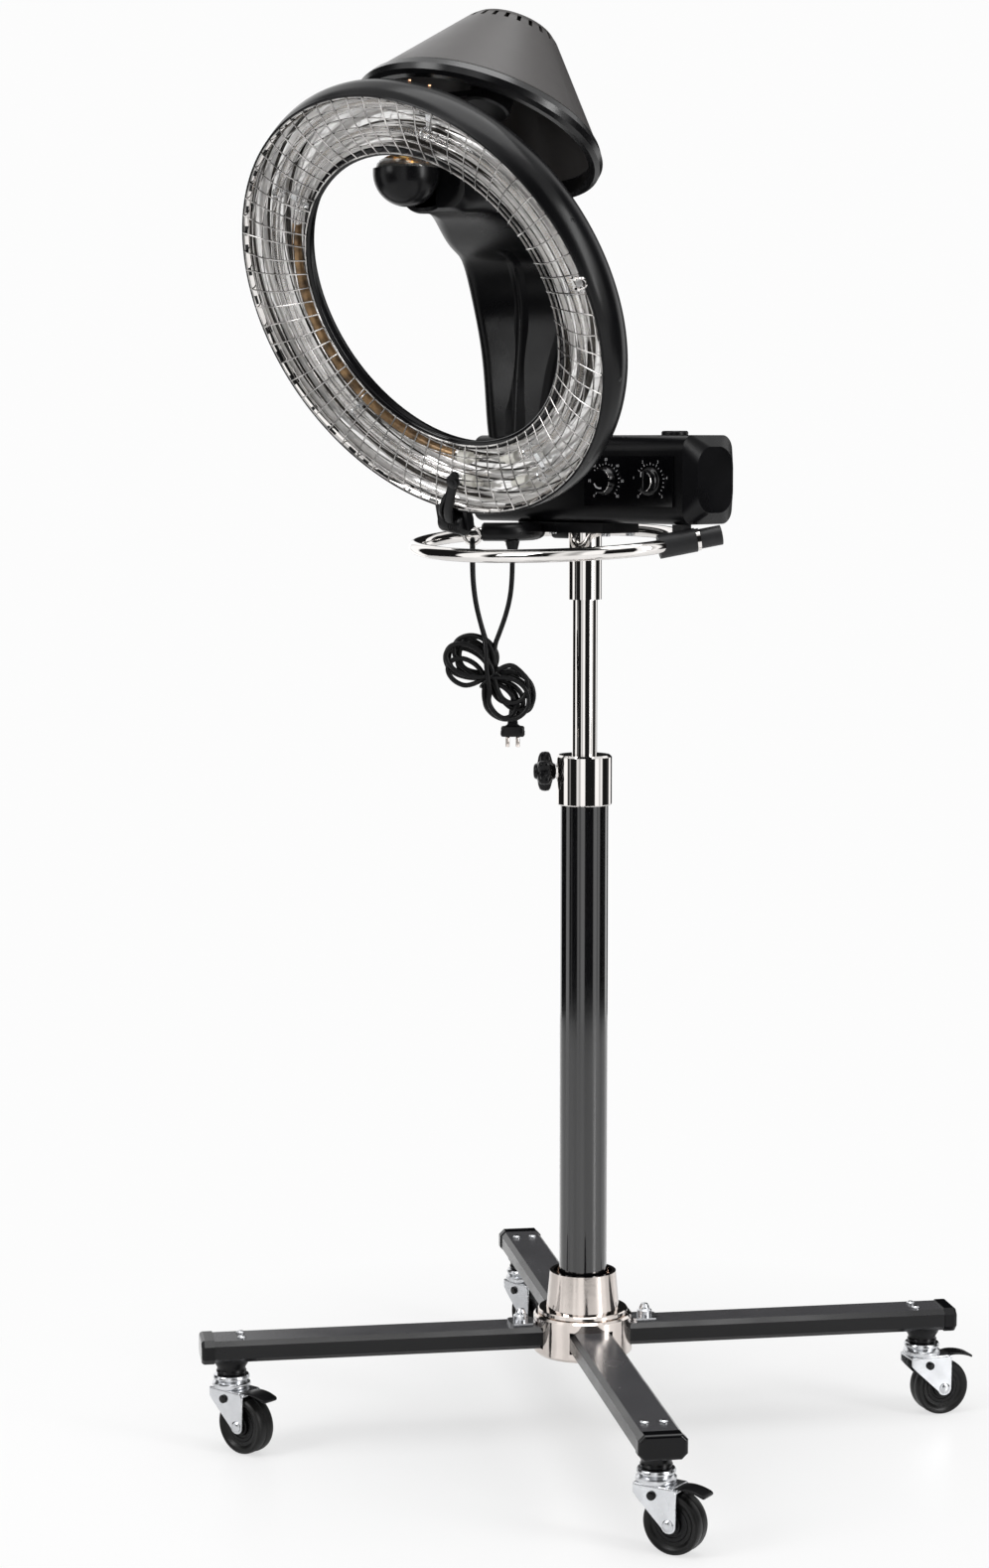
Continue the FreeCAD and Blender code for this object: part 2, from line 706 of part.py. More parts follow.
def end_cap(side):
    """Bevelled hollow cap that closes one end of the box."""
    start = size("box_right") if side > 0 else size("box_left")
    depth, wall = size("cap_depth") * side, size("box_wall")
    bevel, radius = size("cap_bevel"), size("box_round")
    outer = Part.makeLoft([rounded_section(start, 0, radius),
                           rounded_section(start + depth * 0.25, 0, radius),
                           rounded_section(start + depth, bevel, radius + 6)], True, True)
    inner = Part.makeLoft([rounded_section(start - side, wall, radius - wall),
                           rounded_section(start + depth * 0.25, wall, radius - wall),
                           rounded_section(start + depth - wall * side, bevel + wall, radius + 3)],
                          True, True)
    return shaped("end_cap_%d" % (side + 1), outer.cut(inner))


node(group("end_cap_set", [end_cap(-1), end_cap(1)]), "box_end_caps")


def bezels():
    """Two square dial plates on the front of the box."""
    plates = []
    for dial in ("timer_x", "heat_x"):
        plate = solid("Box", "bezel_block_" + dial,
                      at(size(dial) - size("bezel_width") / 2,
                         size("box_front") - size("bezel_thickness"),
                         size("dial_level") - size("bezel_height") / 2),
                      Length="bezel_width", Width="bezel_thickness", Height="bezel_height")
        drill = solid("Cylinder", "bezel_drill_" + dial,
                      at(size(dial), size("box_front") + 5, size("dial_level"), X_AXIS, 90),
                      Radius=4.0, Height=20.0)
        plates.append(cut("bezel_" + dial, plate, drill))
    return group("bezel_set", plates)


node(bezels(), "dial_bezels")


def switch_units():
    """Timer and temperature switch bodies behind the front wall."""
    units = []
    for dial in ("timer_x", "heat_x"):
        unit = solid("Box", "switch_block_" + dial,
                     at(size(dial) - 16, size("box_front") + size("box_wall"),
                        size("dial_level") - 16), Length=32.0, Width=24.0, Height=32.0)
        drill = solid("Cylinder", "switch_drill_" + dial,
                      at(size(dial), size("box_front") + 16, size("dial_level"), X_AXIS, 90),
                      Radius=3.0 + size("running_gap"), Height=30.0)
        units.append(cut("switch_" + dial, unit, drill))
    under, wide = size("box_top") - size("box_wall"), size("button_radius")
    well = lathe([(0, under - 12), (wide + 3.5, under - 12), (wide + 3.5, under),
                  (wide + 0.6, under), (wide + 0.6, under - 9), (0, under - 9)])
    units.append(shaped("button_well", well, at(size("button_x"), 0, 0)))
    return group("switch_set", units)


node(switch_units(), "switch_units")


def dial(name, x):
    """Round dial with a grip bar and its shaft, modelled on Z and turned to face the front."""
    skirt = solid("Cylinder", name + "_skirt", Radius="dial_radius", Height=4.0)
    drum = solid("Cone", name + "_drum", at(z=4.0), Radius1=12.0, Radius2=11.0,
                 Height="dial_depth - 4")
    shaft = solid("Cylinder", name + "_shaft", at(z=-18.0), Radius=3.0, Height=20.0)
    bar = solid("Box", name + "_bar", at(-2, -11.5, size("dial_depth") - 1), Length=4.0,
                Width=23.0, Height=2.5)
    front = size("box_front") - size("bezel_thickness") - 0.6
    knob = joined(name + "_form", [skirt, drum, shaft, bar])
    knob.Placement = Placement(Vector(x, front, size("dial_level")), Rotation(X_AXIS, 90))
    return knob


node(dial("timer", size("timer_x")), "timer_dial")
node(dial("heat", size("heat_x")), "heat_dial")
button = solid("Cylinder", "button_cap", at(size("button_x"), 0, size("box_top") - 3.5),
               Radius="button_radius", Height=7.7)
node(rounded("button_round", button, 2.0,
             lambda e: all(v.Z > size("box_top") + 3.5 for v in e.Vertexes)), "start_button")

# ------------------------------------------------------------------ heater ring
# Ring frame: origin at the centre of the front lip, Z out of the front, Y up in its plane.
RING_PLACE = Placement(Vector(0, size("ring_y"), size("ring_level")),
                       Rotation(X_AXIS, 90 + size("ring_dip")))
MIDDLE_RADIUS = (size("shell_radius") + size("hole_radius")) / 2


def channel(inset):
    """The ring's channel as (radius, height) points from the front lip round to the inner rim."""
    outer, hole, deep = size("shell_radius"), size("hole_radius"), size("ring_depth")
    shape = [(size("lip_radius"), 0), (outer - 1.5, -9), (outer, -22), (outer - 6, -37),
             (outer - 21, -0.96 * deep), (MIDDLE_RADIUS, -deep), (hole + 18, -0.9 * deep),
             (hole + 5, -0.68 * deep), (hole, -22)]
    if not inset:
        return [Vector(r, 0, h) for r, h in shape]
    centre = (MIDDLE_RADIUS, -14.0)
    points = []
    for r, h in shape:
        reach = math.hypot(r - centre[0], h - centre[1])
        scale = (reach - inset) / reach
        points.append(Vector(centre[0] + (r - centre[0]) * scale, 0,
                             centre[1] + (h - centre[1]) * scale))
    return points


def channel_shell(outer_inset, inner_inset):
    outer, inner = channel(outer_inset), channel(inner_inset)
    wire = Part.Wire([smooth(outer), Part.LineSegment(outer[-1], inner[-1]).toShape(),
                      smooth(inner[::-1]), Part.LineSegment(inner[0], outer[0]).toShape()])
    return Part.Face(wire).revolve(ORIGIN, Z_AXIS, 360)


node(shaped("ring_shell_form", channel_shell(0, size("shell_wall")), RING_PLACE), "ring_shell")
node(shaped("reflector_form", channel_shell(size("shell_wall") + 1.5, size("shell_wall") + 3.0),
            RING_PLACE), "ring_reflector")


def heater_tubes():
    """Two quartz tubes round the channel, open at the bottom, on five posts from the reflector."""
    pieces = []
    for i, radius in enumerate((MIDDLE_RADIUS - 14, MIDDLE_RADIUS + 12)):
        pieces.append(solid("Torus", "heater_tube_%d" % i, at(z=-27, angle=-80), Radius1=radius,
                            Radius2="tube_radius", Angle3=340.0))
    for i in range(5):
        bar = Part.makeBox(32, 6, 4, Vector(MIDDLE_RADIUS - 17, -3, -36))
        post = Part.makeCylinder(3, 9.1, Vector(MIDDLE_RADIUS, 0, -44.1))
        pieces.append(shaped("heater_post_%d" % i, bar.fuse(post), at(angle=72.0 * i)))
    return group("heater_set", pieces)


tubes = heater_tubes()
tubes.Placement = RING_PLACE
node(tubes, "heater_tubes")


def wire_guard():
    """Front guard: concentric wires on a bowed surface, with radial wires welded on over them."""
    inner, outer, thick = size("hole_radius") + 2.0, size("lip_radius") - 1.8, size("wire_radius")

    def bow(share):
        return -16.9 * (1 - share) + 0.6 * share + 5.0 * math.sin(math.pi * share)

    count = 6
    pieces = []
    for i in range(count):
        share = i / (count - 1)
        pieces.append(Part.makeTorus(inner + (outer - inner) * share, thick,
                                     Vector(0, 0, bow(share)), Z_AXIS))
    ahead, thin = thick + 0.3, thick - 0.2
    reach = [inner - 0.4 + (outer - inner + 0.8) * s for s in (0.0, 0.5, 1.0)]
    ends = [Vector(r, 0, bow(s) + ahead) for r, s in zip(reach, (0.0, 0.5, 1.0))]
    arc = Part.Circle(*ends)
    first, last = ends[0] - arc.Center, ends[2] - arc.Center
    section = Part.Face(Part.Wire(Part.makeCircle(thin, ends[0], arc.Axis.cross(first))))
    spoke = section.revolve(arc.Center, arc.Axis, math.degrees(first.getAngle(last)))
    spokes = 24
    for i in range(spokes):
        turned = spoke.copy()
        turned.rotate(ORIGIN, Z_AXIS, 360.0 * (i + 0.5) / spokes)
        pieces.append(turned)
    return pieces[0].fuse(pieces[1:])


node(shaped("guard_form", wire_guard(), RING_PLACE), "wire_guard")
rim = lathe([(size("hole_radius") - 1.5, -20.75), (size("hole_radius") + 7, -20.75),
             (size("hole_radius") + 6, -18.2), (size("hole_radius") - 1.5, -18.2)])
node(shaped("inner_rim_form", rim, RING_PLACE), "ring_inner_rim")

# Latch on the front lip, a little to the left of the ring's lowest point.
LATCH_TURN = -102.0


def guard_latch():
    """Clip on a pin: a round body outside the lip and a finger lever that reaches over the guard."""
    body = Part.makeCylinder(11.0, 28, Vector(-12, 0, 0), X_AXIS)
    pin_hole = Part.makeCylinder(2.5 + size("running_gap"), 50, Vector(-25, 0, 0), X_AXIS)
    shoulder = Part.makeBox(12, 12, 12.4, Vector(-6, -8, 0))
    lever = Part.makeBox(9, 42, 4, Vector(-4.5, -49, 8.4))
    tip = Part.makeCylinder(4.5, 4, Vector(0, -49, 8.4))
    hub = Part.makeCylinder(7.0, 6.5, Vector(0, -42, 8.4))
    return body.fuse([shoulder, lever, tip, hub]).cut(pin_hole)


LATCH_TURNED = Placement(ORIGIN, Rotation(Z_AXIS, LATCH_TURN + 90))
PIN_SPOT = Vector(0, -size("shell_radius") - 12.5, -6)
latch_spot = LATCH_TURNED.multiply(Placement(PIN_SPOT, Rotation(Z_AXIS, 180)))
node(shaped("latch_form", guard_latch(), RING_PLACE.multiply(latch_spot)), "guard_latch")


def ring_block():
    """The whole ring as a filled solid, used to trim what is fastened to its outside."""
    points = channel(0)
    closed = Part.Wire([smooth(points), Part.LineSegment(points[-1], points[0]).toShape()])
    return Part.Face(closed).revolve(ORIGIN, Z_AXIS, 360)


def latch_ears():
    """Two ears on the ring's outside with the pin that the latch turns on, in the ring's frame."""
    ears = []
    for start in (-21.0, 13.0):
        ears.append(Part.makeBox(4, 22, 9, PIN_SPOT + Vector(start, -4.5, -4.5)))
    pin = Part.makeCylinder(2.5, 38, PIN_SPOT + Vector(-21, 0, 0), X_AXIS)
    whole = pin.fuse(ears)
    whole.Placement = LATCH_TURNED
    return whole.cut(ring_block())


# ------------------------------------------------------------------ motor bell and ring carrier
# Bell frame: Z along the axis that the ring swings about, origin at the centre of the ring's lip.
LEAN = Rotation(X_AXIS, -size("bell_lean"))
AXIS_PLACE = Placement(Vector(0, size("ring_y"), size("ring_level")), LEAN)
RIM = size("bell_gap")


def bell():
    """Tapered motor cover with a rolled rim and a row of vent slots under its top edge."""
    r, top, high, wall = (size("bell_radius"), size("bell_top_radius"), size("bell_height"),
                          size("bell_wall"))
    outline = [(r - 2, RIM), (r + 2, RIM + 3), (r + 3, RIM + 9), (r - 1, RIM + 16),
               (r - 4.5, RIM + 19), (top, RIM + high - 6), (top - 6, RIM + high), (0, RIM + high),
               (0, RIM + high - wall), (top - 6 - wall, RIM + high - wall),
               (top - wall - 1, RIM + high - 8), (r - 5 - wall, RIM + 16), (r - 5 - wall, RIM)]
    blank = shaped("bell_blank", lathe(outline))
    slots, count = [], 26
    for i in range(count):
        slot = solid("Box", "vent_%d" % i, Length=20.0, Width=4.0, Height=8.0)
        turn = Rotation(Z_AXIS, 360.0 * i / count)
        slot.Placement = Placement(turn.multVec(Vector(top - 11, -2, RIM + high - 12)), turn)
        slots.append(slot)
    form = cut("bell_vented", blank, *slots)
    form.Placement = AXIS_PLACE
    return form


node(bell(), "bell_cover")
MOTOR_TOP = RIM + size("bell_height") - size("bell_wall")
MOTOR_FOOT = MOTOR_TOP - size("motor_height")
SHAFT_HOLE = 4.0 + size("running_gap")
motor = lathe([(SHAFT_HOLE, MOTOR_FOOT), (size("motor_radius"), MOTOR_FOOT),
               (size("motor_radius"), MOTOR_TOP), (0, MOTOR_TOP), (0, MOTOR_TOP - 20),
               (SHAFT_HOLE, MOTOR_TOP - 20)])
node(shaped("motor_form", motor, AXIS_PLACE), "swing_motor")
HUB_LEVEL = MOTOR_TOP - 82


def carrier_hub():
    """Rotor hub with the motor shaft."""
    return lathe([(0, HUB_LEVEL), (20, HUB_LEVEL), (22, HUB_LEVEL + 2), (22, HUB_LEVEL + 18),
                  (10, HUB_LEVEL + 24), (4, HUB_LEVEL + 24), (4, MOTOR_TOP - 21),
                  (0, MOTOR_TOP - 21)])


node(shaped("carrier_hub_form", carrier_hub(), AXIS_PLACE), "carrier_hub")


def carrier_arm():
    """Flat bar from the rotor hub down to the back of the ring's top; the latch's ears with it."""
    ring_in_axis = AXIS_PLACE.inverse().multiply(RING_PLACE)
    foot = ring_in_axis.multVec(Vector(0, MIDDLE_RADIUS + 4, -size("ring_depth")))
    start = Vector(0, -20, HUB_LEVEL + 8)
    way = (foot - start)
    length = way.Length
    bar = Part.makeBox(26, length + 2, 5, Vector(-13, 0, -2.5))
    lean = math.degrees(math.atan2(way.z, -way.y))
    bar.Placement = Placement(start, Rotation(Z_AXIS, 180).multiply(Rotation(X_AXIS, lean)))
    shell = ring_block()
    shell.Placement = ring_in_axis
    keep_out = Part.makeCylinder(22, 30, Vector(0, 0, HUB_LEVEL - 5))
    pad = Part.makeCylinder(15, 10, Vector(0, MIDDLE_RADIUS + 4, -size("ring_depth") - 5))
    pad.Placement = ring_in_axis
    ears = latch_ears()
    ears.Placement = ring_in_axis.multiply(ears.Placement)
    bracket = bar.fuse(pad).cut(shell).cut(keep_out)
    bracket = sorted(bracket.Solids, key=lambda s: s.Volume)[-1]
    return Part.makeCompound([bracket] + ears.Solids)


node(shaped("carrier_arm_form", carrier_arm(), AXIS_PLACE), "carrier_arm")

# ------------------------------------------------------------------ arm
# Arm frame: origin under the ring's centre, X outwards in the arm's own upright plane, Y across it.
ARM_PLACE = Placement(Vector(0, size("ring_y"), 0), Rotation(Z_AXIS, size("arm_turn")))
# Stations from the box to the tip: inner edge, outer edge (reach, height) and width across.
ARM_STATIONS = [
    ((218, 1003), (268, 1003), 66), ((224, 1060), (284, 1062), 84), ((232, 1110), (293, 1118), 104),
    ((231, 1148), (286, 1172), 120), ((214, 1180), (252, 1210), 124), ((182, 1192), (192, 1224), 118),
    ((130, 1212), (132, 1256), 98), ((75, 1220), (77, 1262), 80), ((30, 1222), (31, 1262), 66)]


def arm_section(inner, outer, width, inset):
    """Rounded rectangle across the arm, smaller by the inset on all sides."""
    start, end = Vector(inner[0], 0, inner[1]), Vector(outer[0], 0, outer[1])
    up = (end - start).normalize()
    start, end = start + up * inset, end - up * inset
    half, deep = width / 2 - inset, (end - start).Length
    radius = min(15.0 - inset, 0.42 * deep)
    middle = (start + end) * 0.5
    corners = [(half, deep / 2, 0), (-half, deep / 2, 90), (-half, -deep / 2, 180),
               (half, -deep / 2, 270)]

    def point(across, along):
        return middle + Y_AXIS * across + up * along

    edges, first, last = [], None, None
    for across, along, begin in corners:
        ca, cb = across - math.copysign(radius, across), along - math.copysign(radius, along)
        arc = [point(ca + radius * math.cos(math.radians(a)), cb + radius * math.sin(math.radians(a)))
               for a in (begin, begin + 45, begin + 90)]
        if last is not None:
            edges.append(Part.LineSegment(last, arc[0]).toShape())
        first = first or arc[0]
        edges.append(Part.Arc(*arc).toShape())
        last = arc[2]
    edges.append(Part.LineSegment(last, first).toShape())
    return Part.Wire(edges)


def arm_loft(inset):
    stations = list(ARM_STATIONS)
    if inset:
        (inner, outer, width) = stations[-1]
        stations[-1] = ((inner[0] + inset, inner[1]), (outer[0] + inset, outer[1]), width)
        (inner, outer, width) = stations[0]
        stations[0] = ((inner[0], inner[1] - 2), (outer[0], outer[1] - 2), width)
    return Part.makeLoft([arm_section(i, o, w, inset) for i, o, w in stations], True, False)


FRAME_FOOT = Vector(247, 0, size("box_top"))
FRAME_POINTS = [FRAME_FOOT, Vector(266, 0, 1105), Vector(246, 0, 1186), Vector(148, 0, 1218),
                Vector(140, 0, 1300)]
PLATE_LEVEL = MOTOR_TOP - 36.0


def frame_path(top):
    return cord_path(FRAME_POINTS + [Vector(139, 0, top)])


def frame_top():
    """Height at which the frame tube meets the plate round the motor."""
    spot = AXIS_PLACE.inverse().multVec(ARM_PLACE.multVec(Vector(139, 0, 1300)))
    rise = math.cos(math.radians(size("bell_lean")))
    return 1300 + (PLATE_LEVEL + 2 - spot.z) / rise


def arm_shells():
    """Left and right halves of the moulded arm, hollow, with room for the frame and the cup."""
    hollow = arm_loft(0).cut(arm_loft(size("arm_wall")))
    start = FRAME_POINTS[0]
    room = round_tube(frame_path(frame_top()), size("frame_radius") + 1.0, start,
                      FRAME_POINTS[1] - start)
    cup = Part.makeCylinder(size("cup_radius"), 120, Vector(size("cup_x"), size("cup_y"), 1180))
    cup.Placement = ARM_PLACE.inverse().multiply(cup.Placement)
    under = box_block("arm_seat", 0.0)
    doc.recompute()
    seat = under.Shape.fuse(under.Shape.translated(Vector(-6, 0, 0)))
    doc.removeObject(under.Name)
    seat.Placement = ARM_PLACE.inverse().multiply(seat.Placement)
    hollow = hollow.cut(room).cut(cup).cut(seat)
    for label, low in (("arm_left_shell", 0.0), ("arm_right_shell", -80.0)):
        half = hollow.common(Part.makeBox(400, 80, 400, Vector(0, low, 1000)))
        solids = sorted(half.Solids, key=lambda s: s.Volume)
        node(shaped(label + "_form", solids[-1], ARM_PLACE), label)


arm_shells()


def arm_frame():
    """Bent steel tube inside the arm, from the box to the plate that carries the motor."""
    start = FRAME_POINTS[0]
    tube = round_tube(frame_path(frame_top()), size("frame_radius"), start, FRAME_POINTS[1] - start)
    foot = Part.makeCylinder(17, 4, FRAME_FOOT)
    plate = Part.makeCylinder(60, 4, Vector(0, 0, PLATE_LEVEL))
    plate = plate.cut(Part.makeCylinder(size("motor_radius"), 20, Vector(0, 0, PLATE_LEVEL - 8)))
    plate.Placement = ARM_PLACE.inverse().multiply(AXIS_PLACE)
    below = Part.makeBox(400, 400, 60, Vector(50, -200, size("box_top") - 60))
    return tube.fuse([foot, plate]).cut(below)


node(shaped("arm_frame_form", arm_frame(), ARM_PLACE), "arm_frame")


def sensor_cup():
    """Round cup at the arm's tip, open at its top for the lamp."""
    r, wall = size("cup_radius"), 2.5
    bowl = Part.makeSphere(r).common(Part.makeBox(2 * r, 2 * r, r, Vector(-r, -r, -r)))
    wall_up = Part.makeCylinder(r, 4)
    inner = Part.makeSphere(r - wall).common(Part.makeBox(2 * r, 2 * r, r, Vector(-r, -r, -r)))
    shape = bowl.fuse(wall_up).cut(inner.fuse(Part.makeCylinder(r - wall, 12)))
    return shape.removeSplitter()


CUP_SPOT = at(size("cup_x"), size("cup_y"), size("cup_level"))
node(shaped("cup_form", sensor_cup(), CUP_SPOT), "sensor_cup")
lens = lathe([(0, 0), (size("cup_radius") - 2.5, 0), (size("cup_radius") - 2.5, 5),
              (size("cup_radius") - 4, 10), (18, 15), (9, 17.5), (0, 18)])
node(shaped("lens_form", lens, CUP_SPOT), "sensor_lamp")

# ------------------------------------------------------------------ handle loop and its holders


def loop_tube(radius):
    """Oval tube of four tangent arcs, lower at the front than at the back."""
    a, b, tight = size("loop_half_x"), size("loop_half_y"), size("loop_end_radius")
    offset = a - tight
    wide = (offset ** 2 + b ** 2 - tight ** 2) / (2 * (b - tight))
    swing = math.degrees(math.atan2(wide - b, offset))
    pieces = []
    for side, turn in ((1, 0), (-1, 180)):
        end = Part.makeTorus(tight, radius, Vector(side * offset, 0, 0), Z_AXIS, 0, 360, 2 * swing)
        end.rotate(Vector(side * offset, 0, 0), Z_AXIS, turn - swing)
        long = Part.makeTorus(wide, radius, Vector(0, side * (b - wide), 0), Z_AXIS, 0, 360,
                              180 - 2 * swing)
        long.rotate(Vector(0, side * (b - wide), 0), Z_AXIS, turn + swing)
        pieces += [end, long]
    tube = pieces[0].fuse(pieces[1:])
    tube.Placement = Placement(Vector(size("loop_x"), size("loop_y"), size("loop_level")),
                               Rotation(X_AXIS, size("loop_slope")))
    return tube


LOOP_ROOM = loop_tube(size("loop_tube") + size("running_gap"))
# Right holder: a sleeve over the tube with a web up to the box, a plated collar and a stub grip.
SLEEVE_FOOT, SLEEVE_WAY = Vector(135, -51, 905), Vector(32, 35, 9).normalize()
SLEEVE_LONG = 36.0


def along_sleeve(radius, start, length):
    return Part.makeCylinder(radius, length, SLEEVE_FOOT + SLEEVE_WAY * start, SLEEVE_WAY)


collar_ring = along_sleeve(10.5, SLEEVE_LONG + 0.3, 3.5).cut(LOOP_ROOM)
node(shaped("loop_form", Part.makeCompound([loop_tube(size("loop_tube")), collar_ring])),
     "handle_loop")
web = Part.makeBox(12, 14, size("box_bottom") - 908, Vector(140, -37, 908))
sleeve = along_sleeve(11.5, 0, SLEEVE_LONG).fuse(web).cut(LOOP_ROOM)
sleeve = sorted(sleeve.Solids, key=lambda s: s.Volume)[-1]
stub = along_sleeve(9.5, SLEEVE_LONG + 4.1, 20.9)
node(shaped("handle_grip_form", Part.makeCompound([sleeve, stub])), "handle_grip")


def rear_saddle():
    """Block under the back of the box that takes the tube where it passes behind."""
    block = Part.makeBox(28, 48, size("box_bottom") - 908, Vector(-60, 16, 908))
    block = block.makeChamfer(3.0, [e for e in block.Edges if runs_along(Y_AXIS)(e)
                                    and min(v.Z for v in e.Vertexes) < 910])
    return sorted(block.cut(LOOP_ROOM).Solids, key=lambda s: s.Volume)[-1]

# ------------------------------------------------------------------ cord and what holds it
# The cord hangs in an upright plane in front of the box, turned by CORD_TURN about Z: across, depth.
CORD_TURN, CORD_DEPTH = 40.15, -44.0
CORD_WAY = Rotation(Z_AXIS, CORD_TURN)
CORD_PLACE = Placement(ORIGIN, CORD_WAY)


def hang(across, height, depth=CORD_DEPTH):
    return CORD_WAY.multVec(Vector(across, depth, height))


EXIT, EXIT_LEVEL, HANK_TOP = -71.0, 893.0, 806.0
CORD_LEAD = [hang(EXIT, EXIT_LEVEL), hang(-71.2, 873), hang(-73.1, 853), hang(-77.9, 834),
             hang(-84.5, 816), hang(-88.5, HANK_TOP)]
# The fold goes through the eye, from the front strand to the back one behind it.
FOLD_LEVEL, FRONT, BACK = 909.5, CORD_DEPTH - 6.0, CORD_DEPTH + 6.0
CORD_BIGHT = [hang(-98.2, 814, FRONT), hang(-103.0, 831, FRONT), hang(-107.0, 848, FRONT),
              hang(-109.6, 868, FRONT), hang(-110.2, 888, FRONT), hang(-110.2, FOLD_LEVEL, FRONT),
              hang(-110.2, FOLD_LEVEL, BACK), hang(-110.2, 888, BACK), hang(-109.8, 868, BACK),
              hang(-107.4, 848, BACK), hang(-103.6, 831, BACK), hang(-98.8, 815, BACK)]
EYE = Vector(-110.2, CORD_DEPTH, FOLD_LEVEL - 2.5 + 6.2)


def cord_hook():
    """Plated eye that the fold of the cord hangs in, on a stem into the bracket."""
    fold = hang(EYE.x, 0, BACK) - hang(EYE.x, 0, FRONT)
    centre = CORD_WAY.multVec(EYE)
    eye = Part.makeTorus(8.0, 1.8, centre, fold)
    side = Z_AXIS.cross(fold).normalize() * -8.0
    start = centre + side
    end = hang(-86, EYE.z)
    stem = Part.makeCylinder(1.8, (end - start).Length, start, end - start)
    return eye.fuse(stem)


def cord_bracket():
    """Black moulded arm on the mounting plate, for the strain relief and the eye."""
    foot = size("bracket_bottom")
    corners = [Vector(-60, -38, foot), Vector(-60, -76, foot), Vector(-52, -90, foot),
               Vector(-40, -104, foot), Vector(-12, -80, foot), Vector(-34, -38, foot),
               Vector(-60, -38, foot)]
    block = Part.Face(Part.makePolygon(corners)).extrude(Z_AXIS * (size("box_bottom") - foot))
    relief = hang(EXIT, foot)
    block = block.cut([Part.makeCylinder(5.0, 6, relief), cord_hook()])
    return sorted(block.Solids, key=lambda s: s.Volume)[-1]


node(shaped("brackets_form", Part.makeCompound([cord_bracket(), rear_saddle()])),
     "handle_brackets")


def strain_relief():
    foot = size("bracket_bottom")
    cone = Part.makeCone(3.6, 7.0, foot - EXIT_LEVEL, hang(EXIT, EXIT_LEVEL))
    return cone.fuse(Part.makeCylinder(5.0, 6, hang(EXIT, foot)))


node(shaped("strain_relief_form", strain_relief()), "strain_relief")
node(shaped("cord_hook_form", cord_hook()), "cord_hook")


def cord_hank():
    """Outer shape of the loosely tied figure-of-eight bundle: a slot outline, slanting down."""
    high, low = Vector(-112, 0, 791), Vector(-75, 0, 757)
    along = (low - high).normalize()
    across = Vector(-along.z, 0, along.x)
    r = size("hank_radius")
    one, two = high + across * r, low + across * r
    three, four = low - across * r, high - across * r
    outline = Part.Wire([Part.LineSegment(one, two).toShape(),
                         Part.Arc(two, low + along * r, three).toShape(),
                         Part.LineSegment(three, four).toShape(),
                         Part.Arc(four, high - along * r, one).toShape()])
    block = Part.Face(outline).extrude(Y_AXIS * size("hank_depth"))
    block.translate(Y_AXIS * (CORD_DEPTH - size("hank_depth") / 2))
    block = block.makeFillet(6.0, block.Edges)
    block.Placement = CORD_PLACE
    return block


HANK = cord_hank()
node(shaped("cord_hank_form", HANK), "cord_hank")
node(shaped("cord_lead_form", cord_tube(CORD_LEAD).cut(HANK)), "cord_lead")
node(shaped("cord_bight_form", cord_tube(CORD_BIGHT).cut(HANK)), "cord_bight")


def plug():
    """Two-pin plug hanging under the bundle, its pins as separate solids."""
    body = Part.makeBox(23, 17, 12.5, Vector(-82.2, CORD_DEPTH - 8.5, 716))
    body = body.makeFillet(2.5, body.Edges)
    pins = [Part.makeCylinder(2.0, 9.5, Vector(-70.7 + side * 5.0, CORD_DEPTH, 706.5))
            for side in (-1, 1)]
    body.Placement = CORD_PLACE
    body = sorted(body.cut(HANK).Solids, key=lambda s: s.Volume)[-1]
    for pin in pins:
        pin.Placement = CORD_PLACE
    return Part.makeCompound([body] + pins)


node(shaped("plug_form", plug()), "cord_plug")

# ------------------------------------------------------------------ screws on the head
screws = []
for i, (x, y) in enumerate(((-50, -28), (50, -28), (-50, 10), (50, 10))):
    head = lathe([(0, 0), (4.5, 0), (4.5, 3.2), (0, 3.2)])
    screws.append(shaped("plate_screw_%d" % i, head, at(x, y, size("plate_bottom") - 3.2)))
for i, (x, z) in enumerate(((-90, 945), (-90, 992), (25, 945), (25, 992), (140, 945), (140, 992))):
    head = lathe([(0, 0), (3.5, 0), (2.8, 1.2), (0, 1.6)])
    screws.append(shaped("back_screw_%d" % i, head, at(x, size("box_back"), z, X_AXIS, -90)))
node(group("head_screw_set", screws), "head_screws")

# ------------------------------------------------------------------ check and write
doc.recompute()
failed = [o.Name for o in doc.Objects if "Invalid" in o.State or "Error" in o.State]
if failed:
    raise RuntimeError("failed objects: " + ", ".join(failed))
for piece in nodes:
    shape = piece.Shape
    if shape.isNull() or not shape.isValid() or shape.Volume <= 0:
        raise RuntimeError("bad shape: " + piece.Label)
if len(nodes) > 60 or len({piece.Label for piece in nodes}) != len(nodes):
    raise RuntimeError("too many nodes, or two of one name: %d" % len(nodes))

os.makedirs("parts", exist_ok=True)
for piece in nodes:
    piece.Shape.exportStep("parts/%s.step" % piece.Label)
    print("%-26s %2d solids %9.1f cm3" % (piece.Label, len(piece.Shape.Solids),
                                          piece.Shape.Volume / 1000))
print(len(nodes), "nodes")
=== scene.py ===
"""Looks of the hair color processor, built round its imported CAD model.

Lengths are in millimetres in this file and become metres when a piece is placed.
"""
import random
from math import copysign, cos, degrees, exp, pi, radians, sin

import bmesh
import bpy
from mathutils import Matrix, Vector


